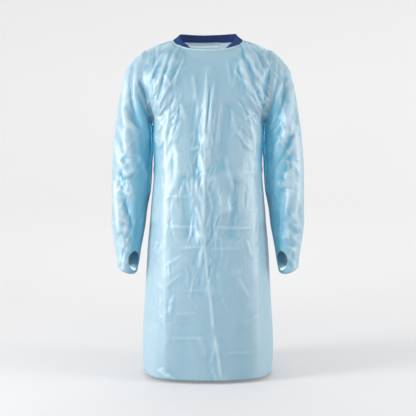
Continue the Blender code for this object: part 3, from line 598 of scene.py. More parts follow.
# Large folds of the solids, along straight runs in metres: a ridge, or a trough where it is negative
Fold = namedtuple("Fold", "x0 z0 x1 z1 width height")
FRONT_FOLDS = rows_of(
    Fold,
    (0.004, -0.120, -0.002, -0.343, 0.020, 0.0050),
    (-0.002, -0.343, -0.019, -0.642, 0.019, 0.0060),
    (-0.019, -0.642, 0.006, -0.814, 0.019, 0.0070),
    (0.006, -0.814, 0.025, -0.987, 0.019, 0.0065),
    (0.025, -0.987, 0.044, -1.086, 0.020, 0.0075),
    (-0.042, -0.240, -0.036, -0.450, 0.026, -0.0085),
    (0.062, -0.240, 0.050, -0.420, 0.026, -0.0085),
    (-0.113, -0.202, -0.135, -0.422, 0.020, 0.0045),
    (-0.135, -0.422, -0.135, -1.086, 0.016, 0.0030),
    (0.116, -0.215, 0.147, -0.422, 0.020, 0.0045),
    (0.147, -0.422, 0.156, -1.086, 0.016, 0.0030),
    (-0.140, -0.075, -0.170, -0.190, 0.018, 0.0080),
    (-0.112, -0.090, -0.150, -0.240, 0.017, 0.0080),
    (-0.165, -0.230, -0.150, -0.330, 0.020, 0.0065),
    (0.140, -0.075, 0.172, -0.200, 0.018, 0.0080),
    (0.108, -0.100, 0.150, -0.235, 0.017, 0.0080),
    (0.165, -0.240, 0.152, -0.340, 0.020, 0.0065),
    (-0.075, -0.470, -0.060, -0.640, 0.022, -0.0065),
    (0.090, -0.480, 0.075, -0.640, 0.022, -0.0065),
    (0.020, -0.470, 0.055, -0.560, 0.018, 0.0055),
    (0.090, -0.760, 0.125, -0.860, 0.018, 0.0030),
    (-0.120, -0.780, -0.075, -0.720, 0.016, 0.0025),
    (-0.075, -0.920, -0.085, -1.086, 0.030, -0.0070),
    (0.100, -0.940, 0.105, -1.086, 0.030, -0.0070),
    (-0.183, -0.620, -0.190, -0.900, 0.024, -0.0060),
    (0.185, -0.620, 0.192, -0.900, 0.024, -0.0060),
)
BACK_FOLDS = rows_of(
    Fold,
    (-0.130, -0.080, -0.160, -0.215, 0.018, 0.0055),
    (0.132, -0.085, 0.162, -0.220, 0.018, 0.0055),
    (-0.085, -0.120, -0.105, -0.300, 0.024, 0.0055),
    (-0.050, -0.200, -0.045, -0.390, 0.024, -0.0060),
    (-0.095, -0.330, -0.075, -0.405, 0.018, 0.0060),
    (-0.040, -0.455, -0.075, -0.620, 0.022, 0.0070),
    (-0.110, -0.455, -0.135, -0.640, 0.022, 0.0065),
    (-0.080, -0.460, -0.105, -0.600, 0.016, -0.0055),
    (-0.120, -0.640, -0.135, -1.086, 0.020, 0.0060),
    (-0.070, -0.620, -0.065, -1.086, 0.030, -0.0065),
    (-0.010, -0.500, -0.020, -1.086, 0.024, 0.0050),
    (-0.175, -0.600, -0.182, -1.000, 0.022, -0.0050),
    (0.150, -0.455, 0.165, -0.640, 0.018, 0.0060),
    (0.165, -0.640, 0.168, -1.086, 0.020, 0.0055),
)

# Large folds on a sleeve: angles round the arm from its outer side by the front, and lengths down it
Drag = namedtuple("Drag", "angle0 along0 angle1 along1 width height")
SLEEVE_FOLDS = {
    "right": rows_of(
        Drag,
        (20.0, 0.060, 75.0, 0.240, 0.017, 0.0060),
        (50.0, 0.050, 110.0, 0.200, 0.016, -0.0060),
        (60.0, 0.210, 100.0, 0.400, 0.018, 0.0060),
        (95.0, 0.230, 135.0, 0.360, 0.016, 0.0055),
        (30.0, 0.330, 78.0, 0.420, 0.016, 0.0050),
        (60.0, 0.440, 105.0, 0.600, 0.016, -0.0055),
        (40.0, 0.470, 60.0, 0.610, 0.014, 0.0050),
        (235.0, 0.120, 285.0, 0.260, 0.018, 0.0060),
        (300.0, 0.300, 250.0, 0.440, 0.018, 0.0060),
        (280.0, 0.430, 300.0, 0.600, 0.016, -0.0055),
        (330.0, 0.380, 340.0, 0.560, 0.016, 0.0045),
    ),
    "left": rows_of(
        Drag,
        (30.0, 0.070, 85.0, 0.230, 0.016, 0.0065),
        (62.0, 0.060, 115.0, 0.190, 0.016, -0.0060),
        (48.0, 0.130, 70.0, 0.300, 0.015, 0.0065),
        (72.0, 0.300, 100.0, 0.430, 0.018, -0.0060),
        (40.0, 0.320, 50.0, 0.520, 0.018, 0.0055),
        (85.0, 0.430, 65.0, 0.600, 0.016, 0.0050),
        (105.0, 0.480, 115.0, 0.620, 0.015, -0.0045),
        (240.0, 0.130, 290.0, 0.250, 0.018, 0.0060),
        (290.0, 0.320, 245.0, 0.450, 0.018, 0.0055),
        (285.0, 0.450, 305.0, 0.610, 0.016, -0.0055),
        (335.0, 0.330, 325.0, 0.520, 0.016, 0.0045),
    ),
}

# How much of the large folds' height the body and the sleeves have
FOLD_SHARE = 0.75
SLEEVE_FOLD_SHARE = 1.0

# The large folds are lower on the skirt, and fade out at the side seams and the shoulders
SKIRT_SHARE = 0.45
SKIRT_TOP = -0.85
SKIRT_SPAN = 0.25
SEAM_FADE_POWER = 8
TOP_FADE_ROWS = ARMHOLE_ROWS / 6.0

# On a sleeve they fade out at its ends and on the side of the body. The radius turns angles to lengths.
SLEEVE_FADE = 0.080
SLEEVE_RADIUS = 0.065
BODY_SIDE_START = 0.4
BODY_SIDE_SPAN = 0.4

# Creases, each along a run from one place in the picture to another. Width is in the picture's
# pixels, height in millimetres, bow is how far the run bends sideways at its middle, lean makes the
# slope on its right steeper, and sharp runs from 0, a soft fold, to 1, a crisp one.
Crease = namedtuple("Crease", "left0 top0 left1 top1 width height bow lean sharp")
FRONT_CREASES = rows_of(
    Crease,
    # Down the middle of the front
    (206.5, 64, 204, 146, 2.0, 2.4, 0.8, 0.3, 0.8),
    (215.5, 74, 209, 142, 1.9, 2.2, -1.2, -0.2, 0.8),
    (209.5, 84, 207, 128, 1.6, -1.2, 0.4, 0.0, 0.6),
    (222, 96, 217, 142, 1.8, 0.9, -0.6, 0.0, 0.7),
    (198, 92, 196, 134, 2.4, 0.9, 0.8, 0.0, 0.4),
    (205, 138, 202.5, 236, 2.0, 2.1, 0.6, 0.3, 0.8),
    (204.5, 232, 209, 292, 1.6, 1.3, -0.8, 0.1, 0.7),
    (209, 288, 213.5, 336, 1.7, 1.4, 0.6, 0.1, 0.8),
    (213.5, 330, 221.5, 384, 1.7, 1.5, 0.8, 0.2, 0.8),
    (199, 150, 204, 178, 2.0, 1.5, 1.0, 0.0, 0.6),
    (196, 176, 203, 205, 2.0, 1.5, -1.0, 0.0, 0.7),
    (207, 186, 213, 214, 2.0, 1.4, 0.8, 0.0, 0.6),
    (195, 204, 203, 232, 1.5, 1.2, 0.8, 0.0, 0.8),
    (212, 206, 205, 232, 1.5, 1.0, 0.6, 0.0, 0.8),
    # Packing folds across
    (190, 150, 201, 146, 2.0, 1.2, 0.4, 0.0, 0.7),
    (161, 197, 192, 196, 1.6, 0.6, 0.2, 0.4, 0.8),
    (240, 173, 261, 173, 1.6, 0.5, 0.3, 0.0, 0.8),
    (166, 226.5, 202, 227, 1.6, 0.8, 0.2, 0.3, 0.8),
    (212, 227, 258, 228, 1.6, 0.9, -0.2, 0.3, 0.8),
    (149, 243, 168, 243, 1.6, 0.5, 0.2, 0.0, 0.8),
    (178, 248, 205, 247, 1.6, 0.7, 0.2, 0.0, 0.8),
    (207, 249, 245, 248, 1.6, 0.5, 0.2, 0.0, 0.8),
    (180, 291, 210, 290, 1.6, 0.5, 0.2, 0.0, 0.8),
    (172, 314, 200, 313, 1.6, 0.35, -0.3, 0.0, 0.8),
    (163, 338, 212, 337, 1.4, 0.55, -0.4, 0.3, 0.8),
    (216, 354, 259, 352, 1.6, 0.5, 0.2, 0.0, 0.8),
    # Short creases on the waist and skirt
    (163.5, 268, 184, 254, 1.6, 0.78, 0.4, 0.3, 0.9),
    (165, 288.5, 184, 271, 1.6, 0.78, 0.4, 0.3, 0.9),
    (174, 293, 169, 318, 2.0, 1.2, -0.4, 0.2, 0.8),
    (154.5, 256, 164, 243, 2.0, 0.96, 0.3, 0.2, 0.8),
    (237, 275, 251, 300, 1.8, 0.72, -0.6, 0.2, 0.9),
    (246, 238, 251, 259, 2.0, 1.1, 0.5, 0.0, 0.8),
    (193, 226, 187, 243, 2.0, 1.1, 0.4, 0.0, 0.8),
    (217, 228, 214, 262, 2.0, 0.96, 0.4, 0.0, 0.7),
    (203, 244, 198, 270, 2.0, 1.2, 0.4, 0.0, 0.7),
    # Gathers at the right shoulder and armhole
    (169.5, 46, 154, 92, 3.0, 3.2, 2.0, 0.3, 0.5),
    (160, 44, 149, 84, 2.8, 3.0, 1.5, 0.3, 0.6),
    (152, 46, 146, 66, 2.6, 2.4, 0.8, 0.0, 0.6),
    (176, 50, 163, 84, 3.0, 2.2, 1.5, 0.0, 0.5),
    (164, 70, 158, 96, 2.2, 2.0, -0.8, 0.0, 0.8),
    (165, 73, 172, 90, 2.0, 1.6, 0.6, 0.0, 0.8),
    (170, 84, 157, 108, 2.4, 2.2, 0.8, 0.0, 0.7),
    (158, 96, 152, 114, 2.2, 2.0, 0.6, 0.0, 0.7),
    (174, 92, 162, 112, 2.2, 1.6, 0.8, 0.0, 0.7),
    (151, 74, 157, 96, 2.2, 1.8, 0.8, 0.0, 0.7),
    (186, 64, 170, 88, 2.8, 1.8, 1.0, 0.0, 0.4),
    (192, 70, 196, 106, 2.6, 1.6, 1.0, 0.0, 0.5),
    (180, 100, 186, 122, 2.2, 1.2, 0.8, 0.0, 0.6),
    # Gathers at the left shoulder and armhole
    (244, 46, 262, 82, 3.0, 2.8, -1.8, -0.3, 0.5),
    (252, 50, 268, 78, 2.8, 2.8, -1.2, -0.2, 0.6),
    (262, 52, 269, 66, 2.4, 2.2, -0.6, 0.0, 0.6),
    (240, 52, 254, 100, 3.0, 2.4, -1.5, 0.0, 0.5),
    (253, 78, 267, 102, 2.4, 2.6, -0.8, 0.0, 0.7),
    (249, 84, 262, 112, 2.4, 2.2, -0.6, 0.0, 0.7),
    (256, 92, 266, 106, 2.2, 2.0, 0.5, 0.0, 0.8),
    (262, 106, 268, 98, 2.0, 1.6, 0.4, 0.0, 0.7),
    (236, 60, 232, 92, 2.6, 1.6, 0.8, 0.0, 0.4),
    (226, 58, 230, 88, 2.6, 1.4, 0.8, 0.0, 0.4),
    (239, 112, 252, 124, 2.2, 1.4, 0.8, 0.0, 0.6),
    (243, 120, 256, 112, 2.0, 1.2, 0.5, 0.0, 0.6),
    # Beside the right armhole
    (155, 112, 168, 132, 2.4, 1.6, 0.8, 0.0, 0.5),
    (153, 130, 160, 150, 2.4, 1.4, 0.6, 0.0, 0.5),
    # Long upright packing folds, and the drape above them
    (165, 166, 165.5, 382, 1.6, 0.35, 0.2, 0.5, 0.8),
    (257, 160, 258, 380, 1.6, 0.35, 0.2, -0.5, 0.8),
    (171, 98, 165, 168, 2.6, 2.4, -1.0, 0.4, 0.5),
    (246, 100, 256, 166, 2.6, 2.4, 1.0, -0.4, 0.5),
    # Near the hem
    (158, 369, 172, 378, 2.0, 1.3, -0.6, 0.0, 0.7),
    (156, 372, 166, 368, 2.0, 0.96, 0.4, 0.0, 0.8),
    (166, 374, 176, 381, 2.0, 1.1, 0.3, 0.0, 0.8),
    (214, 348, 210, 366, 1.8, 0.84, 0.3, 0.0, 0.9),
    (211, 364, 218, 386, 1.8, 0.84, -0.3, 0.0, 0.8),
    # Broad soft dents
    (197, 334, 206, 360, 4.0, 0.96, 1.0, 0.0, 0.2),
    (218, 268, 220, 300, 3.5, 0.72, 1.0, 0.0, 0.2),
    (238, 164, 240, 222, 3.5, 1.6, 1.0, 0.0, 0.3),
    (176, 142, 178, 186, 4.0, 1.6, 1.0, 0.0, 0.3),
    (226, 150, 234, 196, 2.5, 1.2, -1.0, 0.0, 0.5),
    (185, 176, 178, 200, 2.2, 1.0, 0.6, 0.0, 0.6),
)
SLEEVE_CREASES = rows_of(
    Crease,
    # Right sleeve
    (138, 76, 154, 128, 2.8, -5.0, 1.5, 0.0, 0.4),
    (134, 92, 150, 150, 3.6, 3.6, 2.0, 0.3, 0.4),
    (128, 104, 144, 166, 3.2, -3.0, 2.0, 0.0, 0.3),
    (134, 150, 150, 184, 3.2, 3.0, 1.2, 0.0, 0.5),
    (117, 120, 128, 160, 3.2, 2.2, 1.0, 0.0, 0.4),
    (114, 158, 126, 170, 2.4, 1.3, 1.0, 0.0, 0.8),
    (118, 170, 134, 160, 2.2, 1.2, 0.8, 0.0, 0.8),
    (120, 178, 140, 170, 2.2, 1.3, 0.8, 0.0, 0.7),
    (116, 186, 132, 196, 2.2, 1.1, -0.6, 0.0, 0.7),
    (128, 178, 136, 204, 2.4, 0.99, 0.8, 0.0, 0.6),
    (122, 196, 132, 226, 2.6, -2.0, 0.8, 0.0, 0.5),
    (130, 208, 124, 238, 2.4, 1.8, 0.8, 0.0, 0.6),
    (138, 212, 136, 244, 2.4, -2.0, 0.6, 0.0, 0.5),
    (118, 226, 126, 250, 2.0, 0.77, 0.5, 0.0, 0.6),
    (127, 236, 133, 254, 1.8, 0.88, -0.6, 0.0, 0.7),
    (120, 246, 132, 252, 1.8, 0.66, 0.5, 0.0, 0.7),
    # Left sleeve
    (272, 60, 262, 128, 2.8, -5.5, -1.5, 0.0, 0.4),
    (283, 78, 270, 118, 2.6, 4.2, 1.0, 0.3, 0.7),
    (276, 72, 268, 108, 2.4, 3.0, 0.8, 0.0, 0.6),
    (290, 100, 282, 148, 3.0, 4.2, 1.0, 0.2, 0.6),
    (281, 112, 266, 130, 2.4, 1.7, 0.8, 0.0, 0.7),
    (287, 118, 268, 148, 3.0, -3.0, 1.0, 0.0, 0.4),
    (296, 104, 296, 128, 2.4, -1.5, 0.5, 0.0, 0.5),
    (297, 126, 270, 176, 3.0, -3.6, 1.2, 0.0, 0.5),
    (300, 120, 286, 160, 3.0, 2.6, 1.2, 0.0, 0.4),
    (285, 74, 292, 72, 1.8, 0.77, 0.4, 0.0, 0.8),
    (284, 88, 290, 80, 1.8, 0.88, 0.4, 0.0, 0.8),
    (288, 158, 300, 176, 2.4, 1.2, 0.8, 0.0, 0.7),
    (284, 176, 298, 166, 2.2, 1.1, 0.8, 0.0, 0.7),
    (290, 184, 283, 222, 2.8, 2.6, 0.8, 0.0, 0.5),
    (298, 186, 292, 226, 2.6, 2.2, 0.8, 0.0, 0.5),
    (278, 186, 276, 236, 3.0, -2.6, 0.8, 0.0, 0.4),
    (288, 226, 296, 246, 2.2, 1.2, 0.6, 0.0, 0.7),
    (284, 240, 292, 232, 2.0, 0.88, 0.5, 0.0, 0.7),
    (286, 246, 298, 254, 1.8, 0.88, 0.5, 0.0, 0.8),
    (294, 246, 288, 262, 1.8, 0.77, -0.5, 0.0, 0.8),
)

# Creases on the back, in a picture of the same kind taken from behind
BACK_CREASES = rows_of(
    Crease,
    # Drape of the shoulders, and upright packing folds
    (205, 84, 206, 160, 3.0, 1.8, 0.8, 0.2, 0.6),
    (160, 58, 150, 110, 3.0, 3.0, 1.5, 0.3, 0.5),
    (170, 62, 156, 124, 3.0, 2.6, 1.8, 0.0, 0.5),
    (256, 58, 266, 108, 3.0, 3.0, -1.5, -0.3, 0.5),
    (246, 64, 262, 126, 3.0, 2.6, -1.8, 0.0, 0.5),
    (180, 90, 174, 150, 3.4, 2.0, 1.0, 0.0, 0.4),
    (236, 92, 243, 150, 3.4, 2.0, -1.0, 0.0, 0.4),
    (165, 128, 163, 380, 2.2, 0.80, 0.2, 0.5, 0.8),
    (255, 128, 256, 380, 2.2, 0.80, 0.2, -0.5, 0.8),
    # Pull above the ties
    (172, 172, 184, 208, 3.0, 2.1, 1.0, 0.0, 0.5),
    (188, 178, 196, 226, 3.0, 2.2, 1.0, 0.0, 0.6),
    (214, 176, 219, 230, 3.0, 2.0, -1.0, 0.0, 0.5),
    (236, 172, 228, 214, 3.0, 2.1, 1.0, 0.0, 0.5),
    (226, 150, 214, 168, 2.6, 1.7, 0.8, 0.0, 0.6),
    (178, 148, 192, 168, 2.6, 1.7, 0.8, 0.0, 0.6),
    # Packing folds across
    (166, 228, 202, 227, 1.8, 0.52, 0.3, 0.2, 0.9),
    (212, 227, 254, 228, 1.8, 0.52, -0.3, 0.2, 0.9),
    (166, 292, 204, 291, 1.8, 0.44, 0.3, 0.0, 0.9),
    (215, 290, 256, 291, 1.8, 0.44, -0.2, 0.0, 0.9),
    (168, 343, 208, 344, 1.8, 0.44, 0.2, 0.0, 0.9),
    (214, 344, 250, 343, 1.8, 0.40, 0.2, 0.0, 0.9),
    # Short creases on the skirt, and the fold down its middle
    (172, 256, 190, 244, 2.0, 0.50, 0.4, 0.3, 0.9),
    (176, 284, 192, 268, 2.0, 0.47, 0.4, 0.3, 0.9),
    (236, 266, 248, 290, 2.0, 0.50, -0.5, 0.2, 0.9),
    (222, 240, 230, 262, 2.0, 0.45, 0.5, 0.0, 0.8),
    (186, 306, 182, 334, 2.2, 0.45, 0.5, 0.0, 0.8),
    (232, 306, 240, 330, 2.2, 0.45, 0.5, 0.0, 0.8),
    (207, 236, 204, 300, 2.6, 2.2, 0.8, 0.1, 0.7),
    (204, 300, 209, 378, 2.6, 2.2, -0.8, 0.1, 0.7),
    # Left sleeve
    (138, 76, 152, 128, 2.8, -4.5, 1.5, 0.0, 0.4),
    (132, 96, 148, 152, 3.4, 3.4, 2.0, 0.3, 0.4),
    (120, 124, 134, 168, 3.0, 2.4, 1.2, 0.0, 0.5),
    (116, 160, 134, 172, 2.4, 2.6, 0.8, 0.0, 0.7),
    (120, 184, 138, 174, 2.2, 2.2, 0.8, 0.0, 0.7),
    (122, 194, 130, 232, 2.6, 2.0, 0.8, 0.0, 0.5),
    (136, 200, 134, 240, 2.6, -2.0, 0.8, 0.0, 0.5),
    # Right sleeve
    (278, 74, 264, 126, 2.8, -4.5, -1.5, 0.0, 0.4),
    (284, 92, 270, 146, 3.2, 3.6, 1.4, 0.3, 0.5),
    (296, 116, 284, 164, 3.0, 2.6, 1.2, 0.0, 0.5),
    (300, 156, 284, 172, 2.4, 2.6, 0.8, 0.0, 0.7),
    (296, 186, 280, 176, 2.2, 2.2, 0.8, 0.0, 0.7),
    (294, 196, 286, 236, 2.6, 2.0, 0.8, 0.0, 0.5),
    (280, 196, 281, 240, 2.6, -2.0, 0.8, 0.0, 0.5),
)

# Small crumples, spread at random over a part of the picture with a fixed seed: the whole body twice,
# the shoulders, the middle, the sleeves and the elbows
Crumple = namedtuple(
    "Crumple", "count left right top bottom shortest longest width height slant spread seed"
)
CRUMPLES = rows_of(
    Crumple,
    (60, 150, 268, 150, 320, 7.0, 24.0, 1.0, 0.32, 80.0, 60.0, 11),
    (60, 150, 268, 60, 310, 14.0, 40.0, 1.1, 0.50, 84.0, 14.0, 21),
    (75, 148, 180, 46, 150, 12.0, 34.0, 1.3, 0.90, 64.0, 16.0, 12),
    (75, 236, 270, 46, 150, 12.0, 34.0, 1.3, 0.90, 116.0, 16.0, 13),
    (90, 190, 220, 110, 290, 12.0, 38.0, 0.9, 0.60, 84.0, 13.0, 14),
    (110, 110, 154, 50, 275, 10.0, 34.0, 1.3, 0.65, 74.0, 22.0, 15),
    (110, 262, 305, 50, 275, 10.0, 34.0, 1.3, 0.65, 106.0, 22.0, 16),
    (50, 112, 145, 155, 262, 5.0, 14.0, 1.1, 0.50, 25.0, 40.0, 17),
    (50, 272, 302, 155, 262, 5.0, 14.0, 1.1, 0.50, 155.0, 40.0, 18),
)

# What each crumple's height and width are multiplied by, its way out or in, and its bend and crispness
CRUMPLE_HEIGHTS = (0.5, 1.3)
CRUMPLE_WAYS = (1.0, 1.0, -1.0)
CRUMPLE_WIDTHS = (0.8, 1.4)
CRUMPLE_BOWS = (-0.12, 0.12)
CRUMPLE_SHARP = 0.8

# Creases are this many times as high as their rows say. Each tapers off over a share of its length,
# reaches some widths to each side, and falls off the faster the crisper it is.
CREASE_SHARE = 1.6
MILLIMETRE = 0.001
TAPER = 0.3
CREASE_REACH = 4.0
SHARP_FALL = 1.4
SHARP_ROUNDING = 0.2

# Creases fade out where the cloth turns away from the side that they are seen from
FACING_START = 0.02
FACING_SPAN = 0.40


def in_picture(points, facing):
    """Where the camera sees each point, in the picture's pixels. From behind, it stands as far off."""
    scale = FOCAL / (-EYE[1] - facing * points[..., 1])
    left = PICTURE_MIDDLE - facing * points[..., 0] * scale
    return left, PICTURE_MIDDLE - (points[..., 2] - EYE[2]) * scale


def crease_height(left, top, crease):
    """The height in metres of one crease at each place in the picture."""
    du, dv = crease.left1 - crease.left0, crease.top1 - crease.top0
    length = math.hypot(du, dv)
    run = ((left - crease.left0) * du + (top - crease.top0) * dv) / length**2
    t = np.clip(run, 0.0, 1.0)
    side = ((left - crease.left0) * dv - (top - crease.top0) * du) / length
    side = side - crease.bow * 4.0 * t * (1.0 - t)
    width = crease.width * (1.0 - crease.lean * np.tanh(side / crease.width))
    away = np.hypot(side, (run - t) * length) / width
    soft = np.exp(-(away**2))
    sharp = np.exp(-SHARP_FALL * (np.sqrt(away**2 + SHARP_ROUNDING**2) - SHARP_ROUNDING))
    taper = smooth_step(np.minimum(t, 1.0 - t) / TAPER)
    return MILLIMETRE * crease.height * taper * (soft + crease.sharp * (sharp - soft))


def spread_crumples(crumple):
    """Short creases at random places, slanted about one angle."""
    dice = np.random.default_rng(crumple.seed)
    made = []
    for _ in range(crumple.count):
        turn = math.radians(crumple.slant + dice.uniform(-crumple.spread, crumple.spread))
        half = dice.uniform(crumple.shortest, crumple.longest) / 2
        left = dice.uniform(crumple.left, crumple.right)
        top = dice.uniform(crumple.top, crumple.bottom)
        du, dv = half * math.cos(turn), -half * math.sin(turn)
        height = crumple.height * dice.uniform(*CRUMPLE_HEIGHTS) * dice.choice(CRUMPLE_WAYS)
        width = crumple.width * dice.uniform(*CRUMPLE_WIDTHS)
        bow = dice.uniform(*CRUMPLE_BOWS) * 2.0 * half
        made.append(Crease(left - du, top - dv, left + du, top + dv, width, height, bow, 0.0, CRUMPLE_SHARP))
    return made


def near_run(values, start, end, reach):
    """Which values lie between the two ends of a run, or within reach of them."""
    return (values > min(start, end) - reach) & (values < max(start, end) + reach)


def add_creases(points, normals, creases, facing):
    """The height of the creases at every point of a grid that faces the way they are seen from."""
    left, top = in_picture(points, facing)
    total = np.zeros(left.shape)
    for crease in creases:
        reach = CREASE_REACH * crease.width + abs(crease.bow)
        near = near_run(left, crease.left0, crease.left1, reach)
        near &= near_run(top, crease.top0, crease.top1, reach)
        total[near] += crease_height(left[near], top[near], crease)
    return CREASE_SHARE * total * smooth_step((facing * normals[..., 1] - FACING_START) / FACING_SPAN)


def run_height(u, v, u0, v0, u1, v1, width, height):
    """The height at (u, v) of one soft ridge along a straight run."""
    du, dv = u1 - u0, v1 - v0
    t = np.clip(((u - u0) * du + (v - v0) * dv) / (du**2 + dv**2), 0.0, 1.0)
    away = np.hypot(u - u0 - t * du, v - v0 - t * dv)
    return height * np.exp(-((away / width) ** 2))


def body_folds(surface, folds):
    """The height of the large folds at every point of a body panel, fading out at its seams."""
    total = np.zeros(surface.shape[:2])
    for fold in folds:
        total += run_height(surface[..., 0], surface[..., 2], *fold)
    columns = np.abs(np.linspace(-1.0, 1.0, surface.shape[1]))
    rows = np.arange(surface.shape[0])
    top = np.clip((TOP_ROW - rows) / TOP_FADE_ROWS, 0.0, 1.0)
    low = SKIRT_SHARE + (1.0 - SKIRT_SHARE) * smooth_step((surface[..., 2] - SKIRT_TOP) / SKIRT_SPAN)
    return total * low * (1.0 - columns**SEAM_FADE_POWER)[None, :] * top[:, None]


def sleeve_folds(surface, side):
    """The height of the large folds at every point of a sleeve."""
    angles = 180.0 * np.arange(surface.shape[1]) / ARMHOLE_ROWS
    places = np.linspace(0.0, CUFF_END, surface.shape[0])
    girth = math.radians(SLEEVE_RADIUS)
    around, along = np.meshgrid(angles * girth, places)
    total = np.zeros(along.shape)
    for fold in SLEEVE_FOLDS[side]:
        for turn in (-360.0, 0.0, 360.0):
            total += run_height(
                around, along, (fold.angle0 + turn) * girth, fold.along0,
                (fold.angle1 + turn) * girth, fold.along1, fold.width, fold.height,
            )
    fade = np.clip(np.minimum(along, CUFF_END - along) / SLEEVE_FADE, 0.0, 1.0)
    body_side = (-np.cos(np.radians(angles)) - BODY_SIDE_START) / BODY_SIDE_SPAN
    return total * fade * (1.0 - np.clip(body_side, 0.0, 1.0))[None, :]


def mitre(*normals):
    """The shared normal of pieces that meet at a seam, lengthened so that they keep their thickness."""
    shared = unit(sum(normals))
    reach = min(float(np.dot(shared, normal)) for normal in normals)
    return shared / max(reach, 1.0 / MOST_MITRE)


def share_normals(front, back, sleeves):
    """Gives the normals of the panels and sleeves one shared value wherever they meet."""
    for row in range(LOWER_ROWS):
        for column in (0, -1):
            front[row, column] = back[row, column] = mitre(front[row, column], back[row, column])
    for column in range(HALF_COLUMNS + 1 - NECK_COLUMNS, 0, -1):
        for at in (column - 1, -column):
            if at not in (0, -1):
                front[-1, at] = back[-1, at] = mitre(front[-1, at], back[-1, at])
    for column, ring in ((0, sleeves["right"][0]), (-1, sleeves["left"][0])):
        for step in range(ARMHOLE_ROWS + 1):
            row = TOP_ROW - step
            if step in (0, ARMHOLE_ROWS):
                shared = mitre(front[row, column], back[row, column], ring[step])
                front[row, column] = back[row, column] = ring[step] = shared
                continue
            front[row, column] = ring[step] = mitre(front[row, column], ring[step])
            back[row, column] = ring[-step] = mitre(back[row, column], ring[-step])


def other_side(crease):
    """The same crease on the other side of the picture's middle."""
    left0, left1 = 2 * PICTURE_MIDDLE - crease.left0, 2 * PICTURE_MIDDLE - crease.left1
    return crease._replace(left0=left0, left1=left1, bow=-crease.bow)


def all_creases():
    """The creases as seen from the front and from the back, with their small crumples."""
    small = [crease for crumple in CRUMPLES for crease in spread_crumples(crumple)]
    turned = [other_side(crease) for crease in small]
    return list(FRONT_CREASES + SLEEVE_CREASES) + small, list(BACK_CREASES) + turned


def folded(surface, normals, folds, creases):
    """A surface with its folds and creases raised on it, and the height of the creases alone."""
    front_creases, back_creases = creases
    fine = add_creases(surface, normals, front_creases, -1.0)
    fine = fine + add_creases(surface, normals, back_creases, 1.0)
    return surface + normals * (folds + fine)[..., None], fine


def lapped(back, back_normals):
    """The right back panel, which rises over the left one before its free edge."""
    columns = np.arange(2 * HALF_COLUMNS + 1) - HALF_COLUMNS
    t = (columns - UNDER_EDGE + LAP_RAMP_COLUMNS) / (LAP_RAMP_COLUMNS - LAP_FLAT_COLUMNS)
    return back + back_normals * (LAP_LIFT * smooth_step(t))[None, :, None]


def grid_mesh(grid, **values):
    """The cells of a grid of points, with the named values at each point."""
    rows, columns = grid.shape[0] - 1, grid.shape[1] - 1
    bm = bmesh.new()
    bmesh.ops.create_grid(bm, x_segments=columns, y_segments=rows, size=0.5)
    layers = [bm.verts.layers.float.new(name) for name in values]
    points = grid.reshape(-1, 3)
    numbers = [value.reshape(-1) for value in values.values()]
    for vert in bm.verts:
        place = round((vert.co.y + 0.5) * rows) * (columns + 1) + round((vert.co.x + 0.5) * columns)
        vert.co = points[place]
        for layer, number in zip(layers, numbers):
            vert[layer] = number[place]
    return bm


def new_object(name, bm, material=None):
    """An object with a finished mesh. Without a material, as for a cutter, its faces stay flat."""
    mesh = bpy.data.meshes.new(name)
    bm.to_mesh(mesh)
    bm.free()
    if material is not None:
        mesh.materials.append(material)
        mesh.shade_smooth()
    piece = bpy.data.objects.new(name, mesh)
    bpy.context.collection.objects.link(piece)
    return piece


def cloth_piece(name, grid, normals, material, thickness, crest=None, tucked=None, ring=False, inwards=True):
    """A sheet of cloth through a grid of points, with its own thickness. A ring's columns close."""
    # The crest and under-arm values carry the painted highlight and shade that the cloth's colour reads
    crest = np.zeros(grid.shape[:2]) if crest is None else crest
    tucked = np.zeros(grid.shape[:2]) if tucked is None else tucked
    if ring:
        grid, crest, tucked = (np.concatenate([part, part[:, :1]], axis=1) for part in (grid, crest, tucked))
    bm = grid_mesh(grid, crest=crest, tucked=tucked)
    bm.normal_update()
    row, column = (grid.shape[0] - 1) // 2, (grid.shape[1] - 1) // 2
    near = min(bm.verts, key=lambda vert: (vert.co - Vector(grid[row, column])).length_squared)
    if near.normal.dot(Vector(normals[row, column])) < 0.0:
        bmesh.ops.reverse_faces(bm, faces=bm.faces)
    if ring:
        bmesh.ops.remove_doubles(bm, verts=bm.verts, dist=COLLAPSE)
    piece = new_object(name, bm, material)
    wall = piece.modifiers.new("thickness", "SOLIDIFY")
    wall.thickness = thickness
    wall.offset = -1.0 if inwards else 0.0
    return piece


def declare(piece, slot, *nodes):
    """What a piece rides on and the nodes that it replaces; its material's slot is not used."""
    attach(piece, "root")
    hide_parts(*nodes)


def smoothed(values, passes, ring=False):
    """A grid of numbers, smoothed by its neighbours a number of times."""
    result = values.copy()
    for _ in range(passes):
        up = np.pad(result, ((1, 1), (0, 0)), mode="edge")
        result = (up[:-2] + 2.0 * result + up[2:]) / 4.0
        across = np.pad(result, ((0, 0), (1, 1)), mode="wrap" if ring else "edge")
        result = (across[:, :-2] + 2.0 * result + across[:, 2:]) / 4.0
    return result


def crest_of(height, broad_share, ring=False):
    """How far each point stands over the cloth round it: above 0 on a ridge, below it in a trough."""
    fine = np.clip((height - smoothed(height, CREST_PASSES, ring)) / CREST_HEIGHT, -1.0, 1.0)
    broad = np.clip((height - smoothed(height, BROAD_PASSES, ring)) / BROAD_HEIGHT, -1.0, 1.0)
    return fine + broad_share * broad


def side_highlight(normals, way=0.0):
    """How much painted highlight the cloth gets where it turns away to a side: either side, or a sleeve's
    outer one.
    """
    aside = np.abs(normals[..., 0]) if way == 0.0 else way * normals[..., 0] + SIDE_HIGHLIGHT_RISE * normals[..., 2]
    return SIDE_HIGHLIGHT_SHARE * smooth_step((aside - SIDE_HIGHLIGHT_START) / SIDE_HIGHLIGHT_SPAN)


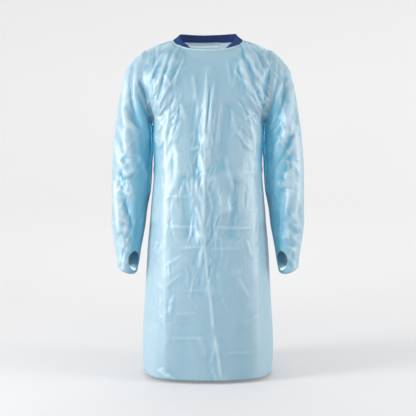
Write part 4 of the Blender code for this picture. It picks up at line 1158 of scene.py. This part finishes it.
def body_arm_shade(surface, normals):
    """How much painted shade the body gets where a sleeve hangs against it, from 0 to 1."""
    aside = smooth_step((np.abs(normals[..., 0]) - BESIDE_START) / BESIDE_SPAN)
    return aside * smooth_step((surface[..., 2] - BESIDE_LOW) / BESIDE_FADE)


def sleeve_arm_shade(normals, way):
    """How much painted shade a sleeve gets where it is turned in towards the body, from 0 to 1."""
    return ARM_SHADE_SHARE * smooth_step((-way * normals[..., 0] - ARM_SHADE_START) / ARM_SHADE_SPAN)


def on_grid(points, row, column):
    """A point between the points of a grid, by its row and column with their fractions."""
    r = int(np.clip(math.floor(row), 0, points.shape[0] - 2))
    c = int(np.clip(math.floor(column), 0, points.shape[1] - 2))
    s, t = row - r, column - c
    low = points[r, c] * (1 - t) + points[r, c + 1] * t
    high = points[r + 1, c] * (1 - t) + points[r + 1, c + 1] * t
    return low * (1 - s) + high * s


def row_at(height):
    """The row of the body below the underarm at a height, with its fraction."""
    hem, underarm = BODY_LEVELS[0].height, BODY_LEVELS[-1].height
    return LOWER_ROWS * (height - hem) / (underarm - hem)


def add_seam(name, path, normals, material,
             half_width=SEAM_HALF_WIDTH, half_height=SEAM_HALF_HEIGHT, crest=SEAM_CREST):
    """The rolled ridge of a seam, wider than it is high and half sunk in the cloth."""
    upright = unit(normals)
    across = unit(np.cross(unit(np.gradient(path, axis=0)), upright))
    turn = np.linspace(0.0, 2.0 * math.pi, ROLL_SIDES + 1)[None, :, None]
    grid = path[:, None] + across[:, None] * np.cos(turn) * half_width
    grid = grid + upright[:, None] * np.sin(turn) * half_height
    bm = grid_mesh(grid, crest=np.full(grid.shape[:2], crest))
    bmesh.ops.remove_doubles(bm, verts=bm.verts, dist=COLLAPSE)
    bmesh.ops.holes_fill(bm, edges=[edge for edge in bm.edges if edge.is_boundary], sides=0)
    bmesh.ops.recalc_face_normals(bm, faces=bm.faces)
    roll = new_object(name, bm, material)
    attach(roll, "root")


def socket(node, name, value):
    node.inputs[name].default_value = value


def set_sockets(node, values):
    for name, value in values.items():
        socket(node, name, value)


def new_material(name, values):
    """A material with the given settings, its nodes, its shader and the place on the object."""
    material = bpy.data.materials.new(name)
    material.use_nodes = True
    tree = material.node_tree
    shader = next(node for node in tree.nodes if node.type == "BSDF_PRINCIPLED")
    set_sockets(shader, values)
    return material, tree, shader, tree.nodes.new("ShaderNodeTexCoord").outputs["Object"]


def add_noise(tree, place, scale, detail=2.0, roughness=0.5, kind="FBM", output="Fac"):
    noise = tree.nodes.new("ShaderNodeTexNoise")
    noise.noise_type = kind
    set_sockets(noise, {"Scale": scale, "Detail": detail, "Roughness": roughness})
    tree.links.new(place, noise.inputs["Vector"])
    return noise.outputs[output]


def stretched(tree, place, scale):
    mapping = tree.nodes.new("ShaderNodeMapping")
    socket(mapping, "Scale", scale)
    tree.links.new(place, mapping.inputs["Vector"])
    return mapping.outputs["Vector"]


def own_value(tree, name):
    """A value that the mesh holds at its points."""
    attribute = tree.nodes.new("ShaderNodeAttribute")
    attribute.attribute_name = name
    return attribute.outputs["Fac"]


def map_range(tree, value, limits, kind="LINEAR"):
    node = tree.nodes.new("ShaderNodeMapRange")
    node.interpolation_type = kind
    set_sockets(node, limits)
    tree.links.new(value, node.inputs["Value"])
    return node.outputs["Result"]


def new_math(tree, operation, *terms):
    """Arithmetic on terms that are numbers or the outputs of other nodes."""
    node = tree.nodes.new("ShaderNodeMath")
    node.operation = operation
    for place, term in enumerate(terms):
        if isinstance(term, float):
            socket(node, place, term)
        else:
            tree.links.new(term, node.inputs[place])
    return node.outputs["Value"]


def ramp(tree, source, stops):
    """Colours by a value from 0 to 1."""
    node = tree.nodes.new("ShaderNodeValToRGB")
    while len(node.color_ramp.elements) < len(stops):
        node.color_ramp.elements.new(0.5)
    for element, (at, colour) in zip(node.color_ramp.elements, stops):
        element.position = at
        element.color = (*colour, 1.0)
    tree.links.new(source, node.inputs["Fac"])
    return node.outputs["Color"]


def add_bump(tree, height, strength, distance, normal=None):
    bump = tree.nodes.new("ShaderNodeBump")
    set_sockets(bump, {"Strength": strength, "Distance": distance})
    tree.links.new(height, bump.inputs["Height"])
    if normal is not None:
        tree.links.new(normal, bump.inputs["Normal"])
    return bump.outputs["Normal"]


def bump_chain(tree, place, bumps):
    """Bump from several scales of noise."""
    normal = None
    for bump in bumps:
        there = stretched(tree, place, bump.stretch)
        noise = add_noise(tree, there, bump.scale, BUMP_DETAIL, BUMP_ROUGHNESS, bump.kind)
        normal = add_bump(tree, noise, bump.strength, bump.distance, normal)
    return normal


def crinkled(tree, place, normal):
    """Crisp crinkles along the edges of stretched cells, in patches, over the bump so far."""
    for crinkle in CRINKLES:
        shifted = tree.nodes.new("ShaderNodeVectorMath")
        shifted.operation = "MULTIPLY_ADD"
        wander = add_noise(tree, place, crinkle.scale * WANDER_SCALE, output="Color")
        tree.links.new(wander, shifted.inputs[0])
        socket(shifted, 1, (WANDER_REACH / crinkle.scale,) * 3)
        tree.links.new(place, shifted.inputs[2])
        cells = tree.nodes.new("ShaderNodeTexVoronoi")
        cells.feature = "DISTANCE_TO_EDGE"
        socket(cells, "Scale", crinkle.scale)
        tree.links.new(stretched(tree, shifted.outputs["Vector"], CELL_STRETCH), cells.inputs["Vector"])
        ridge_limits = {"From Max": RIDGE_WIDTH, "To Min": 1.0, "To Max": 0.0}
        ridge = map_range(tree, cells.outputs["Distance"], ridge_limits, "SMOOTHSTEP")
        patch = add_noise(tree, place, crinkle.scale * PATCH_SCALE)
        patch = map_range(tree, patch, {"From Min": PATCH_START, "From Max": PATCH_END})
        both = new_math(tree, "MULTIPLY", ridge, patch)
        normal = add_bump(tree, both, crinkle.strength, crinkle.distance, normal)
    return normal


def gown_cloth():
    """Light blue bonded cloth: fine fibres, a painted highlight on its ridges, painted shade in its folds
    and a painted dark teal shade where the sleeves meet the body.
    """
    material, tree, shader, place = new_material("gown_cloth", CLOTH_SHADER)
    level = new_math(tree, "MULTIPLY_ADD", own_value(tree, "crest"), CREST_SHARE, CREST_BASE)
    shade = new_math(tree, "MULTIPLY_ADD", add_noise(tree, place, *CLOTH_MOTTLE), MOTTLE_SHARE, level)
    # Painted shade: the colour is mixed towards a dark teal where a sleeve hangs against the body
    arm_shade_mix = tree.nodes.new("ShaderNodeMix")
    arm_shade_mix.data_type = "RGBA"
    arm_shade_mix.inputs["B"].default_value = (*UNDER_ARM_SHADE_COLOUR, 1.0)
    tree.links.new(own_value(tree, "tucked"), arm_shade_mix.inputs["Factor"])
    tree.links.new(ramp(tree, shade, CLOTH_COLOURS), arm_shade_mix.inputs["A"])
    tree.links.new(arm_shade_mix.outputs["Result"], shader.inputs["Base Color"])
    normal = crinkled(tree, place, bump_chain(tree, place, CLOTH_BUMPS))
    tree.links.new(normal, shader.inputs["Normal"])
    return material


def noisy_material(name, values, noise, colours, bumps, crest_share=None):
    """A cloth with colours by a noise, and by its own crest as well where that has a share."""
    material, tree, shader, place = new_material(name, values)
    shade = add_noise(tree, place, *noise)
    if crest_share is not None:
        shade = new_math(tree, "MULTIPLY_ADD", own_value(tree, "crest"), crest_share, shade)
    tree.links.new(ramp(tree, shade, colours), shader.inputs["Base Color"])
    tree.links.new(bump_chain(tree, place, bumps), shader.inputs["Normal"])
    return material


def floor_material():
    """The pale stage, which glows more the farther it is from the gown."""
    material, tree, shader, place = new_material("floor", FLOOR_SHADER)
    socket(shader, "Base Color", (*FLOOR_COLOUR, 1.0))
    away = tree.nodes.new("ShaderNodeVectorMath")
    away.operation = "LENGTH"
    tree.links.new(stretched(tree, place, (1.0, 1.0, 0.0)), away.inputs[0])
    limits = {"From Min": GLOW_START, "From Max": GLOW_END, "To Min": FLOOR_GLOW, "To Max": STAGE_GLOW}
    socket(shader, "Emission Color", (*WHITE, 1.0))
    glow = map_range(tree, away.outputs["Value"], limits)
    tree.links.new(glow, shader.inputs["Emission Strength"])
    return material


def add_stage():
    """A round pale floor that curves up into a wall far behind the camera's path."""
    bm = bmesh.new()
    points = [Vector((0.0, 0.0, FLOOR))]
    points.append(Vector((STAGE_RADIUS - STAGE_CURVE, 0.0, FLOOR)))
    for step in range(1, STAGE_STEPS + 1):
        turn = math.radians(90.0 * step / STAGE_STEPS)
        x = STAGE_RADIUS - STAGE_CURVE + STAGE_CURVE * math.sin(turn)
        points.append(Vector((x, 0.0, FLOOR + STAGE_CURVE * (1.0 - math.cos(turn)))))
    points.append(Vector((STAGE_RADIUS, 0.0, STAGE_TOP)))
    verts = [bm.verts.new(point) for point in points]
    edges = [bm.edges.new(pair) for pair in zip(verts, verts[1:])]
    bmesh.ops.spin(bm, geom=verts + edges, cent=(0.0, 0.0, 0.0), axis=(0.0, 0.0, 1.0),
                   angle=2.0 * math.pi, steps=STAGE_SIDES, use_merge=True)
    bmesh.ops.remove_doubles(bm, verts=bm.verts, dist=COLLAPSE)
    bmesh.ops.recalc_face_normals(bm, faces=bm.faces)
    bmesh.ops.reverse_faces(bm, faces=bm.faces)
    new_object("floor", bm, floor_material())


def add_lights():
    world = bpy.data.worlds.new("studio")
    world.use_nodes = True
    sky = world.node_tree.nodes["Background"]
    set_sockets(sky, {"Color": (*WHITE, 1.0), "Strength": WORLD_LIGHT})
    bpy.context.scene.world = world
    for lamp in LAMPS:
        light = bpy.data.lights.new(lamp.name, "AREA")
        light.shape = "RECTANGLE"
        light.size, light.size_y = lamp.size
        light.energy = lamp.power
        light.spread = math.radians(lamp.spread)
        light.color = lamp.colour
        holder = bpy.data.objects.new(lamp.name, light)
        holder.location = lamp.place
        way = Vector(lamp.target) - Vector(lamp.place)
        holder.rotation_euler = way.to_track_quat("-Z", "Y").to_euler()
        holder.visible_camera = False
        bpy.context.collection.objects.link(holder)


def add_camera():
    camera = bpy.data.cameras.new("camera")
    camera.lens = LENS
    camera.sensor_width = SENSOR
    holder = bpy.data.objects.new("camera", camera)
    holder.location = EYE
    holder.rotation_euler = (math.radians(90.0), 0.0, 0.0)
    bpy.context.collection.objects.link(holder)
    bpy.context.scene.camera = holder
    bpy.context.scene.view_settings.view_transform = "Standard"


def tie_strip(name, grid, facing, material):
    """A tie's strip of cloth through a grid of points, with its outer side to the facing one."""
    normals = grid_normals(grid, 1.0)
    normals *= np.sign(np.sum(normals * facing, axis=-1, keepdims=True).mean())
    piece = cloth_piece(f"waist_{name}", grid, normals, material, TIE_CLOTH, inwards=False)
    declare(piece, "tie", name)
    return piece


def waved(waves, t, step):
    """The height of a strip's waves, this far along it and across it."""
    return sum(height * math.sin(turns * t + slant * step) for height, turns, slant in waves)


def add_ties(back, over, back_normals, material):
    """Two ties from the side seams to a knot on the lapping panel, and their free ends."""
    knot = HALF_COLUMNS + KNOT_COLUMN
    level = row_at(TIE_HEIGHT)
    facing = unit(on_grid(back_normals, level, knot))
    middle = on_grid(over, level, knot) + facing * (SKIN + LAY_GAP + KNOT_DEPTH / 2)
    spacing = np.linalg.norm(over[int(level), HALF_COLUMNS + 1] - over[int(level), HALF_COLUMNS])
    reach = (KNOT_WIDTH / 2 + SEAM_GAP) / spacing * TIE_REACH
    edge = HALF_COLUMNS + OVER_EDGE
    for name, start, end in (
        ("tie_right", TIE_SEAM_CLEAR, knot - reach),
        ("tie_left", 2 * HALF_COLUMNS - TIE_SEAM_CLEAR, knot + reach),
    ):
        count = int(abs(end - start)) * 2
        lines = []
        for step in np.linspace(-1.0, 1.0, TIE_CELLS + 1):
            line = []
            for k, column in enumerate(np.linspace(start, end, count + 1)):
                t = k / count
                gather = 1.0 - TIE_GATHER * smooth_step((t - TIE_GATHER_START) / TIE_GATHER_SPAN)
                row = row_at(TIE_HEIGHT + step * TIE_WIDTH / 2 * gather)
                lie = 1.0
                if name == "tie_left":
                    lie = smooth_step((edge + TIE_CLIMB_START - column) / TIE_CLIMB_COLUMNS)
                base = on_grid(over, row, column) * lie + on_grid(back, row, column) * (1 - lie)
                rise = TIE_BULGE * gather * (1.0 - step**2) + waved(TIE_WAVES, t, step)
                line.append(base + (TIE_OFFSET + rise) * unit(on_grid(back_normals, row, column)))
            lines.append(line)
        grid = np.array(lines)
        piece = tie_strip(name, grid, facing, material)
    add_tie_ends(over, back_normals, knot, spacing, material)
    add_knot(middle, facing, material)


def add_tie_ends(over, back_normals, knot, spacing, material):
    """The two free ends hang from the knot, each with a soft lengthwise fold and a slight twist."""
    top = TIE_HEIGHT - KNOT_HEIGHT * TIE_END_TOP
    bottom = TIE_HEIGHT - KNOT_HEIGHT / 2 - TIE_END_LENGTH
    wave_height, wave_turns, wave_slant = TIE_END_WAVE
    for name, way, seed in TIE_ENDS:
        lines = []
        for height in np.linspace(bottom, top, TIE_END_STEPS + 1):
            t = (top - height) / (TIE_END_LENGTH + KNOT_HEIGHT * (0.5 - TIE_END_TOP))
            sway = TIE_END_SWAY * math.sin(TIE_END_SWAY_TURNS * t + seed) * t
            centre = knot + (way * (TIE_END_APART + TIE_END_SPREAD * t) + sway) / spacing
            share = TIE_END_PINCH + (1.0 - TIE_END_PINCH) * min(1.0, TIE_END_FLARE * t)
            half = TIE_WIDTH / 2 * share / spacing
            line = []
            for step in np.linspace(-1.0, 1.0, TIE_CELLS + 1):
                column = centre + half * step
                bulge = TIE_END_BULGE * (1.0 - step**2)
                rise = bulge * (0.5 + 0.5 * math.cos(TIE_END_TWIST * t + seed))
                rise += wave_height * math.sin(wave_turns * t + wave_slant * step + seed)
                normal = unit(on_grid(back_normals, row_at(height), column))
                offset = TIE_OFFSET + LAY_GAP + TIE_END_CLEAR + rise
                line.append(on_grid(over, row_at(height), column) + normal * offset)
            lines.append(line)
        piece = tie_strip(name, np.array(lines), np.array([0.0, 1.0, 0.0]), material)


def add_knot(middle, facing, material):
    """A pulled-in knot: a band of cloth round a gathered core."""
    bm = bmesh.new()
    bmesh.ops.create_uvsphere(bm, u_segments=KNOT_CELLS[0], v_segments=KNOT_CELLS[1], radius=0.5)
    for vert in bm.verts:
        turn = math.atan2(vert.co.z, vert.co.x)
        pleat = sum((depth * math.sin(count * turn + start) for depth, count, start in KNOT_PLEATS), 1.0)
        vert.co = Vector((vert.co.x * pleat, vert.co.y, vert.co.z * pleat))
    bmesh.ops.scale(bm, verts=bm.verts, vec=(KNOT_WIDTH, KNOT_DEPTH, KNOT_HEIGHT))
    around, upwards = KNOT_BAND_CELLS
    made = bmesh.ops.create_uvsphere(bm, u_segments=around, v_segments=upwards, radius=0.5)
    for vert in made["verts"]:
        swell = 1.0 + KNOT_BAND_SWELL * math.cos(KNOT_BAND_SWELL_TURNS * vert.co.z)
        x = vert.co.x * KNOT_BAND_WIDTH * swell + KNOT_BAND_SLANT * vert.co.z
        vert.co = Vector((x, vert.co.y, vert.co.z))
    band = (KNOT_WIDTH, KNOT_DEPTH * KNOT_BAND_DEPTH, KNOT_HEIGHT * KNOT_BAND_HEIGHT)
    bmesh.ops.scale(bm, verts=made["verts"], vec=band)
    turn = Vector((0.0, 1.0, 0.0)).rotation_difference(Vector(facing)).to_matrix().to_4x4()
    bmesh.ops.transform(bm, verts=bm.verts, matrix=Matrix.Translation(Vector(middle)) @ turn)
    bm.verts.layers.float.new("crest")
    declare(new_object("waist_knot", bm, material), "tie", "tie_knot")


def neckline_path(front, front_normals, back, over, back_normals):
    """Points of the neckline from the lapping panel's edge round to the other, with their normals."""
    centre = HALF_COLUMNS
    first, last = centre - NECK_COLUMNS, centre + NECK_COLUMNS
    points, normals = [], []
    for surface, facing, columns in (
        (over, back_normals, range(centre + OVER_EDGE, first, -1)),
        (front, front_normals, range(first, last + 1)),
        (back, back_normals, range(last - 1, centre + UNDER_EDGE - 1, -1)),
    ):
        points.extend(surface[-1, column] for column in columns)
        normals.extend(facing[-1, column] for column in columns)
    return np.array(points), unit(np.array(normals))


def add_neckband(points, normals, material):
    """The band stands at the back, leans in at the sides and goes in behind the front's edge."""
    level = np.array([1.0, 1.0, 0.0])
    away = unit(points * level / np.array([NECK_HALF_WIDTH, NECK_FRONT_DEPTH, 1.0]))
    round_neck = np.degrees(np.arccos(np.clip(away[:, 1], -1.0, 1.0)))
    lean = np.radians(np.interp(round_neck, *zip(*BAND_LEANS)))[:, None]
    direction = np.cos(lean) * np.array([0.0, 0.0, 1.0]) - np.sin(lean) * unit(points * level)
    onward = unit(np.cross(normals, np.gradient(points, axis=0)))
    tuck = (round_neck - BAND_TUCK_START) / (BAND_TUCK_END - BAND_TUCK_START)
    behind = np.clip(TUCK_PACE * tuck, 0.0, 1.0)[:, None]
    down = np.clip(TUCK_PACE * tuck - TUCK_DOWN_LAG, 0.0, 1.0)[:, None]
    clear = SKIN + 2.0 * LAY_GAP + BAND_CLOTH / 2
    root = points + onward * (SEAM_GAP - BAND_TUCK_DROP * down) - normals * clear * behind
    bend = root + unit(onward + direction) * BAND_CURL
    dip = np.clip(np.cos(np.radians(BAND_DIP_PACE * round_neck)), 0.0, 1.0) * (round_neck < BAND_DIP_END)
    reach = direction * (1.0 - BAND_DIP * dip)[:, None] * (BAND_WIDTH - BAND_CURL) / BAND_ROWS
    middle = np.array([root] + [bend + reach * step for step in range(BAND_ROWS + 1)])
    across = grid_normals(middle, 1.0)
    outward = across * np.sign(np.sum(across[0] * normals, axis=1).mean())
    # Painted shade: the back of the band, whose inside shows, is darker in colour
    band_back_shade = smooth_step((round_neck - BAND_SHADE_START) / BAND_SHADE_SPAN) - 1.0
    band_back_shade = np.tile(band_back_shade, (len(middle), 1))
    piece = cloth_piece("neckband_knit", middle, outward, material, BAND_CLOTH, band_back_shade, inwards=False)
    declare(piece, "band", "neckband")


def add_tape(over, back_normals, material):
    """The closure tape on the inside of the lapping panel, below the neckline."""
    row_step = np.linalg.norm(over[-1, HALF_COLUMNS] - over[-2, HALF_COLUMNS])
    columns = HALF_COLUMNS + FINER * np.linspace(TAPE_START, TAPE_END, TAPE_COLUMNS)
    rows = TOP_ROW - np.linspace(TAPE_DROP + TAPE_WIDTH, TAPE_DROP, TAPE_ROWS) / row_step
    offset = -(SKIN + LAY_GAP + TAPE_CLOTH / 2)
    places = [[(row, column) for column in columns] for row in rows]
    grid = np.array([[on_grid(over, *at) + offset * unit(on_grid(back_normals, *at)) for at in line]
                     for line in places])
    piece = cloth_piece("closure_tape", grid, grid_normals(grid, 1.0), material, TAPE_CLOTH, inwards=False)
    declare(piece, "tape", "neck_tape")


def cut_thumb_hole(piece, way):
    """Cuts the oval thumb hole through a cuff."""
    rings = SLEEVE_RINGS[-2:]
    share = np.clip((HOLE_HEIGHT - rings[0].outer_z) / (rings[1].outer_z - rings[0].outer_z), 0.0, 1.0)
    spots = [ring_points(ring, np.array([HOLE_ANGLE]))[0] for ring in rings]
    spot = spots[0] * (1.0 - share) + spots[1] * share
    spot[2] = HOLE_HEIGHT
    bm = bmesh.new()
    bmesh.ops.create_cone(bm, cap_ends=True, segments=HOLE_SIDES, radius1=1.0, radius2=1.0,
                          depth=HOLE_CUT_LENGTH)
    bmesh.ops.scale(bm, verts=bm.verts, vec=(HOLE_HALF_WIDTH, HOLE_HALF_HEIGHT, 1.0))
    upright = Matrix.Rotation(math.radians(90.0), 4, "X")
    swing = Matrix.Rotation(math.radians(-HOLE_AXIS_ANGLE * way), 4, "Z")
    there = Matrix.Translation((spot[0] * way, spot[1], spot[2]))
    bmesh.ops.transform(bm, verts=bm.verts, matrix=there @ swing @ upright)
    bmesh.ops.recalc_face_normals(bm, faces=bm.faces)
    cutter = new_object("thumb_cutter", bm)
    cut = piece.modifiers.new("thumb hole", "BOOLEAN")
    cut.operation = "DIFFERENCE"
    cut.solver = "EXACT"
    cut.object = cutter
    graph = bpy.context.evaluated_depsgraph_get()
    shaped = bpy.data.meshes.new_from_object(piece.evaluated_get(graph))
    piece.modifiers.clear()
    piece.data = shaped
    bpy.data.objects.remove(cutter)


def hang_cloth(piece, nodes):
    """A piece of the gown's own cloth, attached in place of its nodes."""
    declare(piece, "cloth", *nodes)


def add_panel(node, surface, normals, crest, tucked, columns, material):
    """A panel of the body: these columns of a surface."""
    outer = (surface + normals * SKIN)[:, columns]
    piece = cloth_piece(f"{node}_cloth", outer, normals[:, columns], material, CLOTH,
                        crest[:, columns], tucked[:, columns])
    hang_cloth(piece, [node])


def add_sleeve(side, surface, normals, creases, material):
    """A sleeve with its folds, its thumb hole and the seam that sets it into the armhole."""
    way = -1.0 if side == "right" else 1.0
    folds = SLEEVE_FOLD_SHARE * sleeve_folds(surface, side)
    surface, fine = folded(surface, normals, folds, creases)
    # Painted highlight and shade from ridges, troughs and the turn to the outer side, and painted shade on
    # the side turned to the body
    crest = crest_of(folds + fine, SLEEVE_BROAD, ring=True) + side_highlight(normals, way)
    piece = cloth_piece(f"sleeve_{side}_cloth", surface + normals * SKIN, normals, material, CLOTH,
                        crest, sleeve_arm_shade(normals, way), ring=True)
    cut_thumb_hole(piece, way)
    hang_cloth(piece, [f"sleeve_{side}", f"cuff_{side}"])
    armhole = np.concatenate([surface[0], surface[0, :1]])
    facing = np.concatenate([normals[0], normals[0, :1]])
    add_seam(f"armhole_seam_{side}", armhole + facing * SKIN, facing, material)


def main():
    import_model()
    cloth = gown_cloth()
    band = noisy_material("band_knit", BAND_SHADER, BAND_FLECK, BAND_COLOURS, BAND_BUMPS, BAND_CREST_SHARE)
    tie = noisy_material("tie_cloth", TIE_SHADER, TIE_MOTTLE, TIE_COLOURS, TIE_BUMPS)
    tape = noisy_material("closure_tape", TAPE_SHADER, TAPE_FUZZ, TAPE_COLOURS, TAPE_BUMPS)

    front, back = body_surface(-1.0), body_surface(1.0)
    front_normals, back_normals = grid_normals(front, 1.0), grid_normals(back, -1.0)
    sleeves = {side: sleeve_surface(side) for side in ("right", "left")}
    share_normals(front_normals, back_normals, {side: both[1] for side, both in sleeves.items()})
    creases = all_creases()
    front_folds = FOLD_SHARE * body_folds(front, FRONT_FOLDS)
    back_folds = FOLD_SHARE * body_folds(back, BACK_FOLDS)
    front, front_fine = folded(front, front_normals, front_folds, creases)
    back, back_fine = folded(back, back_normals, back_folds, creases)
    over = lapped(back, back_normals)
    # Painted highlight and shade from ridges, troughs and the turn to a side
    front_crest = crest_of(front_folds + front_fine, BODY_BROAD) + side_highlight(front_normals)
    back_crest = crest_of(back_folds + back_fine, BODY_BROAD) + side_highlight(back_normals)
    # Painted shade on the body beside the arms
    front_tucked, back_tucked = body_arm_shade(front, front_normals), body_arm_shade(back, back_normals)

    edge = HALF_COLUMNS + OVER_EDGE
    add_panel("front", front, front_normals, front_crest, front_tucked, slice(None), cloth)
    add_panel("back_over", over, back_normals, back_crest, back_tucked, slice(0, edge + 1), cloth)
    add_panel("back_under", back, back_normals, back_crest, back_tucked,
              slice(HALF_COLUMNS + UNDER_EDGE, None), cloth)
    hem = (over + back_normals * (SKIN - LAP_HEM_HEIGHT))[:, edge]
    add_seam("lap_hem", hem, back_normals[:, edge], cloth, LAP_HEM_WIDTH, LAP_HEM_HEIGHT)
    for side, (surface, normals) in sleeves.items():
        add_sleeve(side, surface, normals, creases, cloth)

    first, last = HALF_COLUMNS - NECK_COLUMNS, HALF_COLUMNS + NECK_COLUMNS
    below_arm = slice(0, LOWER_ROWS + 1)
    neck_edge = (NECK_EDGE_WIDTH, NECK_EDGE_HEIGHT, NECK_EDGE_CREST)
    for name, place, roll in (
        ("side_seam_right", (below_arm, 0), ()),
        ("side_seam_left", (below_arm, -1), ()),
        ("shoulder_seam_right", (-1, slice(0, first + 1)), ()),
        ("shoulder_seam_left", (-1, slice(last, None)), ()),
        ("neck_edge", (-1, slice(first, last + 1)), neck_edge),
    ):
        normals = front_normals[place]
        add_seam(name, front[place] + normals * SKIN, normals, cloth, *roll)

    points, normals = neckline_path(front, front_normals, back, over, back_normals)
    add_neckband(points, normals, band)
    add_tape(over, back_normals, tape)
    add_ties(back, over, back_normals, tie)

    add_stage()
    add_lights()
    add_camera()


main()
